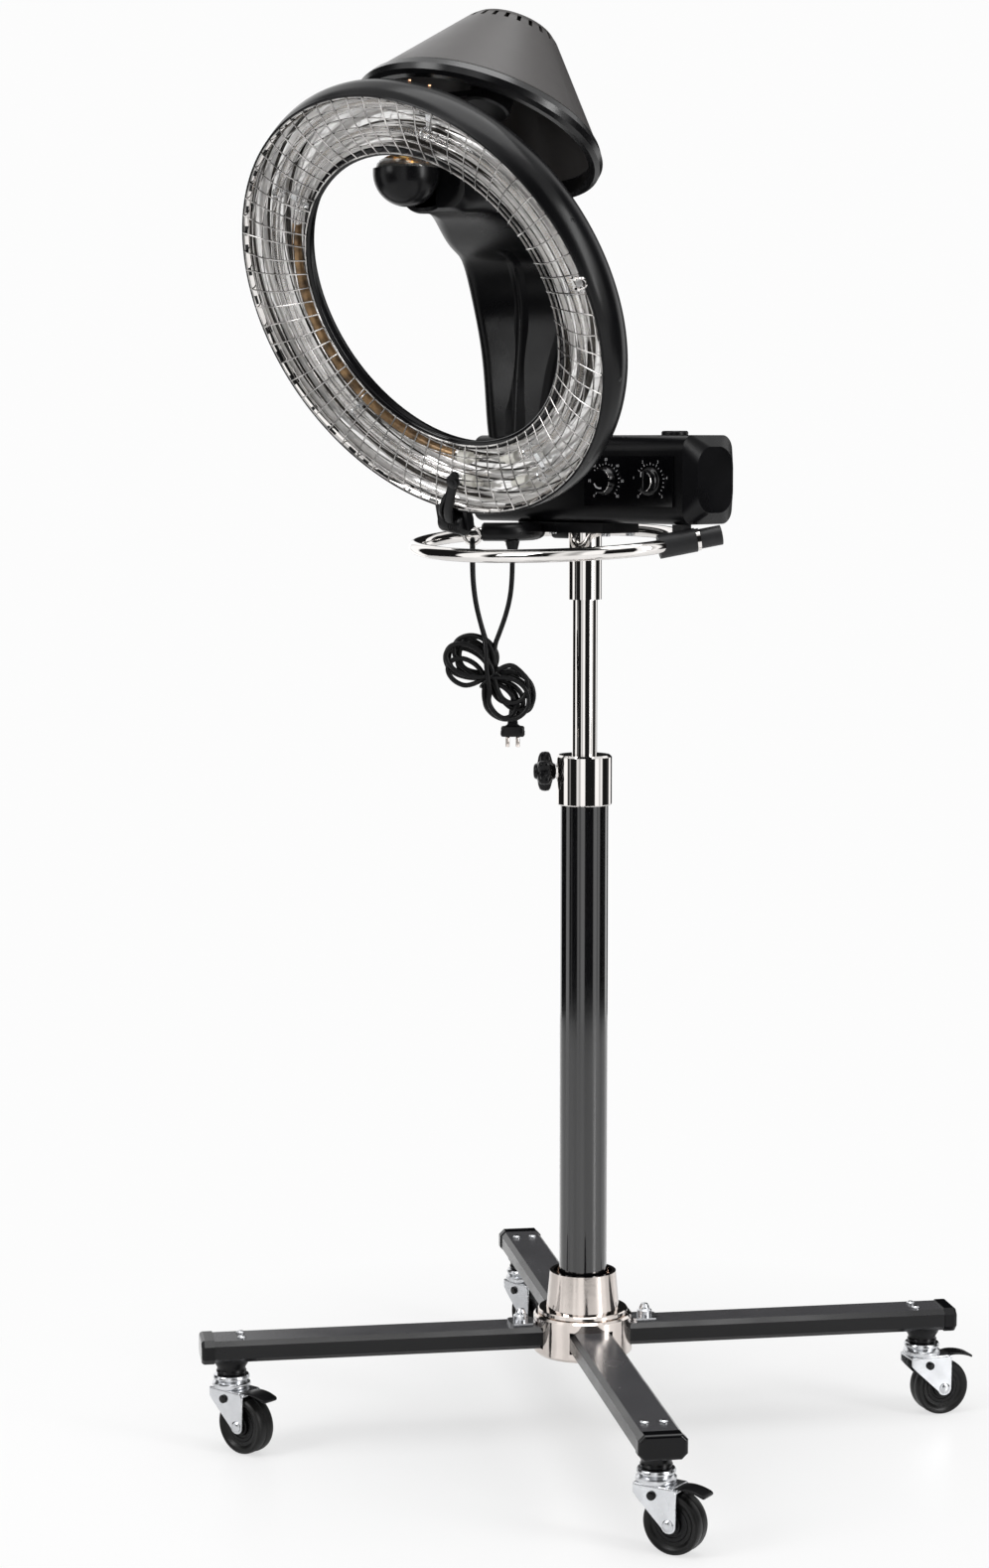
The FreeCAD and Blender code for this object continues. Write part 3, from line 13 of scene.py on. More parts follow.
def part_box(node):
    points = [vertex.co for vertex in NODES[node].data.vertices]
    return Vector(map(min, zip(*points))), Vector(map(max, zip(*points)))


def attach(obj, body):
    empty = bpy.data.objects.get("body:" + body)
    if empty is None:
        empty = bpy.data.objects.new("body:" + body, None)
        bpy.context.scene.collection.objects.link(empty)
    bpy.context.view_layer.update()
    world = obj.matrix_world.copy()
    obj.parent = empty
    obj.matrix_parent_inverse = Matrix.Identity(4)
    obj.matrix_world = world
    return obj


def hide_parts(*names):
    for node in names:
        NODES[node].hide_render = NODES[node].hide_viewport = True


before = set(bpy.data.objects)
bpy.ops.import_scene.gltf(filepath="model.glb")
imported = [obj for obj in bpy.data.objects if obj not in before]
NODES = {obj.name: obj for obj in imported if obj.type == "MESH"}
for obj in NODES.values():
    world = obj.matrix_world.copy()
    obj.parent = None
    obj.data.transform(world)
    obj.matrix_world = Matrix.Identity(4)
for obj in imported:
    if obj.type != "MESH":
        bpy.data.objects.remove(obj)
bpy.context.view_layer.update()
SCENE = bpy.context.scene
MM = Matrix.Scale(0.001, 4)
IDENTITY = Matrix.Identity(4)
rnd = random.Random(7)


def turned(angle, axis):
    return Matrix.Rotation(radians(angle), 4, axis)


def moved(x=0.0, y=0.0, z=0.0):
    return Matrix.Translation((x, y, z))


def polar(radius, angle, z=0.0):
    """Point at a radius and an angle in degrees about Z."""
    a = radians(angle)
    return Vector((radius * cos(a), radius * sin(a), z))


def facing(point, way):
    """Frame at a point with its Z along a direction."""
    return Matrix.Translation(point) @ Vector(way).to_track_quat("Z", "Y").to_matrix().to_4x4()


# The frames that the CAD model uses, in millimetres.
RING = moved(0, -241, 1126) @ turned(116.5, "X")
BELL = moved(0, -241, 1126) @ turned(-26.5, "X")
ARM = moved(0, -241, 0) @ turned(107, "Z")
CUP = moved(-18, -238, 1253)

# ---- camera
AZIMUTH, PITCH, FOCAL_PX, IMAGE_HEIGHT = 131.76, 6.08, 3239.0, 1579.0
CAMERA_AT = (2.0634, -2.4459, 1.005)


def add_object(name, data):
    made = bpy.data.objects.new(name, data)
    SCENE.collection.objects.link(made)
    return made


def make_camera():
    data = bpy.data.cameras.new("camera")
    data.sensor_width = 36.0
    data.lens = FOCAL_PX * data.sensor_width / IMAGE_HEIGHT
    data.clip_start, data.clip_end = 0.1, 60.0
    camera = add_object("camera", data)
    a, p = radians(AZIMUTH), radians(PITCH)
    look = Vector((cos(a) * cos(p), sin(a) * cos(p), -sin(p)))
    camera.location = CAMERA_AT
    camera.rotation_mode = "QUATERNION"
    camera.rotation_quaternion = look.to_track_quat("-Z", "Y")
    SCENE.camera = camera


make_camera()

# ---- materials


def wired(tree, kind, sockets, out=0, **settings):
    """A new shader node with its inputs, by name or number, set or linked; gives one output."""
    node = tree.nodes.new("ShaderNode" + kind)
    for name, value in settings.items():
        setattr(node, name, value)
    for key, value in sockets.items():
        if isinstance(value, bpy.types.NodeSocket):
            tree.links.new(value, node.inputs[key])
        else:
            node.inputs[key].default_value = value
    return node.outputs[out]


def noise_of(tree, scale, detail=3.0, stretch=None, seed=0.0):
    """Noise in the object's own coordinates, in metres; stretch scales it along each axis."""
    source = wired(tree, "TexCoord", {}, "Object")
    if stretch or seed:
        source = wired(tree, "Mapping", {"Vector": source, "Scale": stretch or (1, 1, 1),
                                         "Location": (seed, 2 * seed, 3 * seed)})
    return wired(tree, "TexNoise", {"Vector": source, "Scale": scale, "Detail": detail}, "Fac")


def spread(tree, value, low, high, start=0.3, end=0.7):
    """Maps start to end onto low to high, and keeps to them."""
    return wired(tree, "MapRange", {"Value": value, "From Min": start, "From Max": end,
                                    "To Min": low, "To Max": high}, "Result")


def mixed(tree, share, one, two, kind="RGBA"):
    """Mix of two colours, or of two numbers where kind is FLOAT; each a value or a socket."""
    return wired(tree, "Mix", {"Factor": share, "A": one, "B": two}, "Result", data_type=kind)


def bumped(tree, height, distance, normal=None):
    """Normal bent by a height, on top of another normal if one is given."""
    sockets = {"Distance": distance, "Strength": 1.0, "Height": height}
    if normal is not None:
        sockets["Normal"] = normal
    return wired(tree, "Bump", sockets, "Normal")


DUST = (0.5, 0.49, 0.47, 1)


def material(name, color, rough, metal=0.0, vary=0.12, vary_scale=30.0, rough_vary=0.06,
             grain=None, lines=None, coat=0.0, dust=0.0, shine=0.5, **sockets):
    """grain: (scale, depth in mm) of fine moulded texture; lines: (scale, stretch, depth in mm)
    of turned or drawn marks; dust: share of pale film in patches; shine: the specular level."""
    made = bpy.data.materials.new(name)
    made.use_nodes = True
    tree = made.node_tree
    shader = tree.nodes["Principled BSDF"]
    shown = mixed(tree, spread(tree, noise_of(tree, vary_scale), 0, 1),
                  [c * (1 - vary) for c in color] + [1],
                  [min(1, c * (1 + vary)) for c in color] + [1])
    if dust:
        patches = noise_of(tree, 9.0, 6.0, seed=3.1)
        shown = mixed(tree, spread(tree, patches, 0, dust, 0.45, 0.8), shown, DUST)
    tree.links.new(shown, shader.inputs["Base Color"])
    level = spread(tree, noise_of(tree, 18.0, 4.0, seed=1.7), max(0.02, rough - rough_vary),
                   rough + rough_vary)
    tree.links.new(level, shader.inputs["Roughness"])
    shader.inputs["Metallic"].default_value = metal
    shader.inputs["Coat Weight"].default_value = coat
    shader.inputs["Coat Roughness"].default_value = 0.08
    shader.inputs["Specular IOR Level"].default_value = shine
    normal = None
    if lines:
        scale, stretch, depth = lines
        normal = bumped(tree, noise_of(tree, scale, 2.0, stretch), depth * 0.001)
    if grain:
        scale, depth = grain
        normal = bumped(tree, noise_of(tree, scale, 2.0, seed=5.3), depth * 0.001, normal)
    if normal is not None:
        tree.links.new(normal, shader.inputs["Normal"])
    for socket, value in sockets.items():
        shader.inputs[socket.replace("_", " ")].default_value = value
    return made


CHROME = material("chrome", (0.74, 0.715, 0.695), 0.04, 1.0, 0.03, rough_vary=0.015,
                  grain=(14, 0.05))
CHROME_SATIN = material("chrome_satin", (0.72, 0.73, 0.74), 0.2, 1.0, 0.05, rough_vary=0.05,
                        lines=(2200, (0.02, 0.02, 1.0), 0.02))
NICKEL = material("nickel", (0.68, 0.62, 0.58), 0.09, 1.0, 0.06, 25, 0.03, grain=(90, 0.06))
ZINC = material("zinc", (0.6, 0.61, 0.63), 0.24, 1.0, 0.1, 60, 0.08, grain=(700, 0.02))
COLUMN_PAINT = material("column_paint", (0.003, 0.003, 0.0035), 0.1, 0.0, 0.2, 8, 0.03,
                        grain=(120, 0.006), coat=1.0, shine=0.5)
LEG_PAINT = material("leg_paint", (0.006, 0.006, 0.0065), 0.22, 0.0, 0.15, 12, 0.06,
                     grain=(420, 0.015), shine=0.3)
BLACK_PAINT = material("black_paint", (0.004, 0.004, 0.0045), 0.28, 0.0, 0.2, 20, 0.06,
                       grain=(600, 0.015), shine=0.15)
CASING = material("casing", (0.004, 0.004, 0.0045), 0.22, 0.0, 0.2, 14, 0.05,
                  grain=(260, 0.012), shine=0.16)
HOUSING = material("housing", (0.003, 0.003, 0.0035), 0.3, 0.0, 0.2, 30, 0.06,
                   grain=(1500, 0.03), shine=0.13)
CAP_PLASTIC = material("cap_plastic", (0.004, 0.004, 0.0045), 0.28, 0.0, 0.2, 50, 0.07,
                       grain=(900, 0.02), shine=0.18)
GLOSS_BLACK = material("gloss_black", (0.002, 0.002, 0.0025), 0.1, 0.0, 0.2, 30, 0.04,
                       grain=(90, 0.01), shine=0.25)
GRIP = material("grip_rubber", (0.014, 0.014, 0.015), 0.45, 0.0, 0.15, 60, 0.08,
                grain=(1100, 0.06), shine=0.25)
TYRE = material("tyre", (0.006, 0.006, 0.006), 0.34, 0.0, 0.25, 40, 0.1, grain=(800, 0.03),
                dust=0.015, shine=0.2)
JACKET = material("cord_jacket", (0.0022, 0.0022, 0.0026), 0.36, 0.0, 0.2, 120, 0.06,
                  grain=(1600, 0.015), shine=0.2)
MIRROR = material("mirror_band", (0.97, 0.96, 0.95), 0.05, 0.6, 0.02, 35, 0.03)
GUARD_WIRE = material("guard_wire", (0.4, 0.39, 0.38), 0.2, 1.0, 0.7, 60, 0.06)
QUARTZ = material("quartz", (0.97, 0.96, 0.95), 0.03, 0.0, 0.03, 25, 0.015,
                  Transmission_Weight=0.95, IOR=1.45)
FILAMENT = material("filament", (0.3, 0.24, 0.17), 0.35, 0.9, 0.2, 300)
GOLD_COAT = material("gold_coat", (0.2, 0.12, 0.055), 0.36, 0.4, 0.7, 90, 0.1,
                     grain=(220, 0.2))
CERAMIC = material("ceramic", (0.78, 0.76, 0.7), 0.45, 0.0, 0.06, 80, 0.08, grain=(900, 0.05))
GLASS = material("lamp_glass", (0.95, 0.93, 0.9), 0.04, 0.0, 0.04, 40, 0.02,
                 Transmission_Weight=0.95, IOR=1.45)
GOLD = material("lamp_gold", (0.85, 0.56, 0.2), 0.14, 1.0, 0.12, 90, 0.05, grain=(300, 0.05))
COPPER = material("copper_plate", (0.7, 0.36, 0.2), 0.2, 1.0, 0.1, 200)
DARK_STEEL = material("dark_steel", (0.02, 0.02, 0.021), 0.4, 0.6, 0.2, 60, 0.08,
                      grain=(900, 0.03))
MARKS = material("white_marks", (0.5, 0.5, 0.51), 0.5, 0.0, 0.05, 200)


BELL_STEP = 197.5


def make_bell_skin():
    """Charcoal satin moulding with a darker, glossier band under its step."""
    skin = material("bell_skin", (0.04, 0.037, 0.036), 0.38, 0.0, 0.1, 10, 0.05,
                    grain=(1300, 0.03), shine=0.4)
    tree = skin.node_tree
    shader = tree.nodes["Principled BSDF"]
    way = BELL.to_3x3() @ Vector((0, 0, 1))
    rise = wired(tree, "VectorMath", {0: wired(tree, "TexCoord", {}, "Object"), 1: way}, "Value",
                 operation="DOT_PRODUCT")
    step = (way.dot(BELL.translation) + BELL_STEP) * 0.001
    mask = spread(tree, rise, 0.0, 1.0, step, step + 0.001)
    for name, below, kind in (("Base Color", (0.004, 0.004, 0.0045, 1), "RGBA"),
                              ("Roughness", 0.22, "FLOAT")):
        socket = shader.inputs[name]
        tree.links.new(mixed(tree, mask, below, socket.links[0].from_socket, kind), socket)
    return skin


BELL_SKIN = make_bell_skin()


def paint_top_sheen(skin, color):
    """Painted sheen: the colour of the faces that look up is made lighter, standing in for the
    light that falls on them from above.
    """
    tree = skin.node_tree
    shader = tree.nodes["Principled BSDF"]
    normal = wired(tree, "NewGeometry", {}, "Normal")
    up = wired(tree, "SeparateXYZ", {"Vector": normal}, "Z")
    base = shader.inputs["Base Color"]
    tree.links.new(mixed(tree, spread(tree, up, 0.0, 1.0, 0.75, 0.98),
                         base.links[0].from_socket, (*color, 1)), base)


# painted sheen: the legs' upper faces are coloured lighter, as if lit from above
paint_top_sheen(LEG_PAINT, (0.06, 0.0595, 0.063))


def crinkle_mirror():
    """Foil-like streaks that run round the ring: a bump along them, and painted shade that
    darkens the creases of the foil.
    """
    tree = MIRROR.node_tree
    shader = tree.nodes["Principled BSDF"]
    coords = wired(tree, "TexCoord", {}, "Object")

    def vectors(operation, *values, out="Vector"):
        return wired(tree, "VectorMath", dict(enumerate(values)), out, operation=operation)

    def along(axis):
        way = RING.to_3x3() @ Vector(axis)
        return wired(tree, "Math", {0: vectors("DOT_PRODUCT", coords, way, out="Value"),
                                    1: way.dot(RING.translation) * 0.001}, operation="SUBTRACT")

    flat = wired(tree, "CombineXYZ", {"X": along((1, 0, 0)), "Y": along((0, 1, 0))})
    radius = vectors("LENGTH", flat, out="Value")
    slope = wired(tree, "Math", {0: along((0, 0, 1)), 1: 0.8, 2: radius},
                  operation="MULTIPLY_ADD")
    lift = wired(tree, "CombineXYZ", {"Z": slope})
    joined = vectors("MULTIPLY_ADD", vectors("NORMALIZE", flat), (1, 1, 0), lift)

    def streaks(across, round_it, seed):
        scaled = wired(tree, "Mapping", {"Vector": joined, "Scale": (round_it, round_it, across),
                                         "Location": (seed, seed, seed)})
        return wired(tree, "TexNoise", {"Vector": scaled, "Scale": 1.0, "Detail": 0.5}, "Fac")

    base = shader.inputs["Base Color"]
    # painted shade: narrow near-black streaks in the mirror's colour along the creases of the
    # foil
    fold_shade = spread(tree, streaks(260.0, 0.9, 4.0), 0.0, 1.0, 0.575, 0.6)
    tree.links.new(mixed(tree, fold_shade, base.links[0].from_socket, (0.05, 0.045, 0.04, 1)), base)
    tree.links.new(bumped(tree, streaks(42.0, 1.6, 1.0), 0.0018), shader.inputs["Normal"])


crinkle_mirror()

# ---- mesh tools


def add_mesh(name, bm, skin):
    """Turns millimetre mesh data into an object in metres."""
    bm.transform(MM)
    mesh = bpy.data.meshes.new(name)
    bm.to_mesh(mesh)
    bm.free()
    mesh.materials.append(skin)
    return add_object(name, mesh)


def place_piece(name, bm, skin, body, stands_for=(), crease=38.0):
    """Makes an object, smooth up to its creases, that rides on a body."""
    bmesh.ops.remove_doubles(bm, verts=bm.verts, dist=1e-4)
    bmesh.ops.recalc_face_normals(bm, faces=bm.faces)
    limit = radians(crease)
    for face in bm.faces:
        face.smooth = True
    for edge in bm.edges:
        edge.smooth = len(edge.link_faces) == 2 and edge.calc_face_angle(0.0) < limit
    made = add_mesh(name, bm, skin)
    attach(made, body)
    if stands_for:
        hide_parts(*stands_for)
    return made


def add_rows(bm, rows, wrap_row=True, wrap_rows=False, caps=False):
    """Quads between rows of points; wrap_row closes each row, wrap_rows joins last to first,
    and caps puts a face over the first row and the last."""
    grid = [[bm.verts.new(p) for p in row] for row in rows]
    count, width = len(grid), len(grid[0])
    for i in range(count if wrap_rows else count - 1):
        one, two = grid[i], grid[(i + 1) % count]
        for j in range(width if wrap_row else width - 1):
            k = (j + 1) % width
            quad = (one[j], one[k], two[k], two[j])
            corners = {tuple(round(c, 5) for c in v.co) for v in quad}
            if len(corners) >= 3:
                bm.faces.new(quad)
    if caps:
        bm.faces.new(grid[0])
        bm.faces.new(grid[-1])
    return grid


def add_lathe(bm, outline, place=IDENTITY, steps=96, start=0.0, sweep=360.0, closed=True):
    """Turns an outline of (radius, height) points about Z; closed joins its ends."""
    full = abs(sweep - 360.0) < 1e-6
    count = steps if full else steps + 1
    rows = [[place @ polar(r, start + sweep * i / steps, z) for r, z in outline]
            for i in range(count)]
    add_rows(bm, rows, closed, full, caps=closed and not full)


def add_tube(bm, points, radius, sides=10, closed=False):
    """Round bar through points; radius may be a list, one per point."""
    points = [Vector(p) for p in points]
    count = len(points)
    radii = radius if isinstance(radius, (list, tuple)) else [radius] * count
    up, rows = None, []
    for i, p in enumerate(points):
        ahead = points[(i + 1) % count] if closed or i + 1 < count else p
        behind = points[i - 1] if closed or i > 0 else p
        way = (ahead - behind).normalized()
        if up is None:
            up = way.orthogonal().normalized()
        up = (up - way * up.dot(way)).normalized()
        side = way.cross(up)
        rows.append([p + (up * cos(a) + side * sin(a)) * radii[i]
                     for a in (2 * pi * k / sides for k in range(sides))])
    add_rows(bm, rows, wrap_rows=closed, caps=not closed)


def add_box(bm, low, high, place=IDENTITY, bevel=0.0, segments=2):
    """Box between two corners, its edges rounded if a bevel is given."""
    made = bmesh.ops.create_cube(bm, size=1.0)["verts"]
    for v in made:
        v.co = Vector(low[k] if v.co[k] < 0 else high[k] for k in range(3))
    if bevel:
        edges = list({e for v in made for e in v.link_edges})
        rounded = bmesh.ops.bevel(bm, geom=edges, offset=bevel, segments=segments, profile=0.5,
                                  affect="EDGES", clamp_overlap=True)
        made = list({v for f in rounded["faces"] for v in f.verts} |
                    {v for v in made if v.is_valid})
        linked = set(made)
        for v in list(linked):
            for f in v.link_faces:
                linked.update(f.verts)
        made = list(linked)
    bmesh.ops.transform(bm, matrix=place, verts=made)


def add_pin(bm, radius, length, place=IDENTITY, edge=0.4, sides=32):
    """Cylinder along Z from the place's origin with bevelled ends."""
    e = min(edge, radius * 0.45, length * 0.45)
    add_lathe(bm, [(0, 0), (radius - e, 0), (radius - e * 0.3, e * 0.3), (radius, e),
                   (radius, length - e), (radius - e * 0.3, length - e * 0.3),
                   (radius - e, length), (0, length)], place, sides, closed=False)


def lined(points, up):
    """Places along a line, each with its Z along the line and its Y near up."""
    places = []
    for i, p in enumerate(points):
        way = (points[min(i + 1, len(points) - 1)] - points[max(i - 1, 0)]).normalized()
        side = Vector(up).cross(way).normalized()
        turn = Matrix((side, way.cross(side), way)).transposed().to_4x4()
        places.append(Matrix.Translation(p) @ turn)
    return places


def oval(x, y, power, sides, shift=0.0):
    """Points round a rounded rectangle of half sizes x and y; a small power squares it."""
    turns = [2 * pi * (k + shift) / sides for k in range(sides)]
    return [(x * copysign(abs(cos(a)) ** power, cos(a)),
             y * copysign(abs(sin(a)) ** power, sin(a))) for a in turns]


def add_bar(bm, places, sizes, power=0.6, sides=32):
    """Lofted bar with a rounded section of the given half sizes at each place."""
    rows = [[place @ Vector((*point, 0)) for point in oval(x, y, power, sides, 0.5)]
            for place, (x, y) in zip(places, sizes)]
    add_rows(bm, rows, caps=True)


def curve_through(points, steps=8, place=IDENTITY):
    """Smooth line through points (Catmull-Rom)."""
    points = [place @ Vector(p) for p in points]
    padded = [points[0] * 2 - points[1]] + points + [points[-1] * 2 - points[-2]]
    out = []
    for a, b, c, d in zip(padded, padded[1:], padded[2:], padded[3:]):
        for i in range(steps):
            t = i / steps
            out.append(0.5 * (2 * b + (c - a) * t + (2 * a - 5 * b + 4 * c - d) * t ** 2
                              + (3 * b - a - 3 * c + d) * t ** 3))
    return out + [points[-1]]


def add_screw(bm, place, radius=3.5, height=1.8):
    """Pan head with a cross recess, its foot at the place's origin and its axis along Z."""
    add_lathe(bm, [(radius * 0.95, 0), (radius, height * 0.25), (radius * 0.9, height * 0.7),
                   (radius * 0.6, height * 0.95), (radius * 0.2, height), (0, height)],
              place, 28, closed=False)


def add_cross_shade(bm, place, radius, height):
    """Painted shade of a screw's cross recess, as two thin dark bars in its head."""
    for turn in (0, 90):
        add_box(bm, (-radius * 0.62, -radius * 0.12, height * 0.72),
                (radius * 0.62, radius * 0.12, height * 1.02), place @ turned(turn, "Z"))


def dress(skin, *names):
    """Gives CAD nodes one material in place of their own."""
    for name in names:
        mesh = NODES[name].data
        mesh.materials.clear()
        mesh.materials.append(skin)


# ---- cord, hank and plug
CORD_R = 2.5
HANG_WAY, HANG_DEPTH = 40.15, -44.0
PLUG_ACROSS = -70.7


def hang(across, height, depth=HANG_DEPTH):
    """Point in the upright plane that the cord hangs in."""
    a = radians(HANG_WAY)
    return Vector((across * cos(a) - depth * sin(a),
                   across * sin(a) + depth * cos(a), height))


HANK_HIGH, HANK_LOW = Vector((-112, 791)), Vector((-75, 757))
HANK_MIDDLE = (HANK_HIGH + HANK_LOW) / 2
HANK_ALONG = (HANK_HIGH - HANK_LOW).normalized()
HANK_SIDE = Vector((HANK_ALONG.y, -HANK_ALONG.x))
HANK_HALF, HANK_R, HANK_THICK = 25.1, 26.0, 13.2


def in_hank(along, side, depth):
    """Point of the bundle, kept inside its slot-shaped outline."""
    run = max(-HANK_HALF, min(HANK_HALF, along))
    away = Vector((along - run, side))
    if away.length > HANK_R:
        away *= HANK_R / away.length
    spot = HANK_MIDDLE + HANK_ALONG * (run + away.x) + HANK_SIDE * away.y
    return hang(spot.x, spot.y, HANG_DEPTH + max(-HANK_THICK, min(HANK_THICK, depth)))


LOBE = ((0.06, 0.25), (0.35, 0.9), (0.72, 1.0), (1.0, 0.45), (1.0, -0.45), (0.72, -1.0),
        (0.35, -0.9))


def hank_lobe(length, wide, lean, waist, depth):
    """One teardrop of a turn from the tie and back, down for a negative length."""
    a, points = radians(lean), []
    for reach, side in LOBE:
        u, v = length * reach, wide * side
        fan = 1 + 0.3 * reach
        points.append(in_hank(u * cos(a) - v * sin(a),
                              u * sin(a) + v * cos(a) + waist * (1 - reach),
                              depth * fan))
    return points


def hank_turns(*turns):
    """Turns of the tied bundle, each a lobe down and a lobe up: (length, width, lean) twice."""
    points = []
    for down, up, waist, depth in turns:
        points += hank_lobe(-down[0], down[1], down[2], waist, depth)
        if up:
            points += hank_lobe(up[0], up[1], up[2], waist, depth - 0.9)
    return points


def cord_points():
    """Route from the strain relief to the bundle, up over the eye, back to it and to the plug."""
    lead = [hang(a, z) for a, z in ((-71, 893), (-71.2, 873), (-73.1, 853), (-77.9, 834),
                                    (-84.5, 816), (-88.5, 806))]
    front = [hang(a, z, -50.0) for a, z in ((-98.2, 814), (-103, 831), (-107, 848),
                                            (-109.6, 868), (-110.2, 888), (-110.2, 909.5))]
    back = [hang(a, z, -38.0) for a, z in ((-110.2, 909.5), (-110.2, 888), (-109.8, 868),
                                           (-107.4, 848), (-103.6, 831), (-98.8, 815))]
    first = hank_turns(((50, 17, -14), (49, 18, 12), 3.0, -1.6),
                       ((43, 14, 20), (42, 13, -26), -4.0, -4.7),
                       ((39, 19, -24), (50, 15, -8), 5.0, -7.6),
                       ((48, 20, 4), None, 0.0, -9.6))
    first += [in_hank(-9, -8, -12), in_hank(6, 3, -13), in_hank(19, 16, -12)]
    second = hank_turns(((46, 19, 14), (44, 20, 24), -3.0, 1.7),
                        ((51, 14, -6), (51, 14, -16), 4.0, 4.6),
                        ((40, 17, -22), (40, 15, 4), -5.0, 7.4),
                        ((47, 15, 22), (47, 19, -4), 2.0, 9.7))
    into = [in_hank(8, 16, -2)]
    again = [in_hank(17, 18, 5)]
    away = [in_hank(-2, 7, 7), in_hank(-14, 8, 4), in_hank(-24, 6, 1), in_hank(-31, 1, 0),
            hang(PLUG_ACROSS, 743.5)]
    return lead + into + first + front + back + again + second + away


def make_cord():
    data = bpy.data.curves.new("mains_cord", "CURVE")
    data.dimensions = "3D"
    data.bevel_depth = CORD_R * 0.001
    data.bevel_resolution = 5
    data.resolution_u = 8
    points = cord_points()
    spline = data.splines.new("NURBS")
    spline.points.add(len(points) - 1)
    for spot, p in zip(spline.points, points):
        spot.co = (*(p * 0.001), 1.0)
    spline.order_u = 3
    spline.use_endpoint_u = True
    data.materials.append(JACKET)
    made = add_object("mains_cord", data)
    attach(made, "head")
    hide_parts("cord_lead", "cord_bight", "cord_hank")
    return made


def make_plug():
    """Moulded two-pin plug with grip ribs, and its two pins."""
    place = Matrix.Translation(hang(PLUG_ACROSS, 716)) @ turned(HANG_WAY, "Z")
    bm = bmesh.new()
    rows = []
    for z, half_x, half_y in ((0, 10.8, 6.6), (1.0, 11.5, 7.2), (8.6, 11.5, 7.4),
                              (9.8, 10.6, 6.8), (10.4, 7.2, 5.4), (12.0, 5.2, 4.6),
                              (17.0, 4.6, 4.2), (23.0, 3.8, 3.8), (27.0, 3.3, 3.3),
                              (28.5, 2.6, 2.6)):
        rows.append([place @ Vector((*point, z)) for point in oval(half_x, half_y, 0.3, 40)])
    add_rows(bm, rows, caps=True)
    for z in (2.0, 3.4, 4.8):
        for side in (-1, 1):
            add_box(bm, (side * 11.2 - 0.7, -5.5, z - 0.35), (side * 11.2 + 0.7, 5.5, z + 0.35),
                    place, 0.2, 1)
    body = place_piece("plug_body", bm, CAP_PLASTIC, "head", ["cord_plug"])
    bm = bmesh.new()
    for side in (-5.0, 5.0):
        add_pin(bm, 2.0, 11.0, place @ moved(side, 0, -10.6), 0.9, 24)
    pins = place_piece("plug_pins", bm, NICKEL, "head")
    return [body, pins]


def make_tie():
    """Black twist tie round the middle of the bundle, its ends twisted together."""
    bm = bmesh.new()
    ring = []
    for k in range(28):
        a = 2 * pi * k / 28
        c, s = cos(a), sin(a)
        ring.append(in_hank(1.2 * sin(2 * a), 12.6 * copysign(abs(c) ** 0.75, c),
                            15.2 * copysign(abs(s) ** 0.75, s)))
    add_tube(bm, ring, 1.3, 8, closed=True)
    for way in (-1, 1):
        add_tube(bm, curve_through([in_hank(0, 6, -15.8), in_hank(way * 3, 9, -17.4),
                                    in_hank(way * 7, 10 + way, -18.0)], 5), 1.1, 8)
    return place_piece("cord_tie", bm, CAP_PLASTIC, "head")


cord = make_cord()
plug_pieces = make_plug()
tie = make_tie()
dress(JACKET, "strain_relief")

# ---- ring, reflector and guard
LIP_R, SHELL_R, HOLE_R, RING_DEEP = 211.4, 217.0, 147.0, 50.0
MIDDLE_R = (SHELL_R + HOLE_R) / 2


def channel(inset, steps=7):
    """The ring channel's outline from its front lip round to the inner rim, moved inwards by
    inset, which is a function of the share of the way."""
    line = curve_through([(LIP_R, 0, 0), (SHELL_R - 1.5, -9, 0), (SHELL_R, -22, 0),
                          (SHELL_R - 6, -37, 0), (SHELL_R - 21, -0.96 * RING_DEEP, 0),
                          (MIDDLE_R, -RING_DEEP, 0), (HOLE_R + 18, -0.9 * RING_DEEP, 0),
                          (HOLE_R + 5, -0.68 * RING_DEEP, 0), (HOLE_R, -22, 0)], steps)
    centre = Vector((MIDDLE_R, -14, 0))
    points = []
    for i, p in enumerate(line):
        away = p - centre
        away *= (away.length - inset(i / (len(line) - 1))) / away.length
        points.append((centre.x + away.x, centre.y + away.y))
    return points


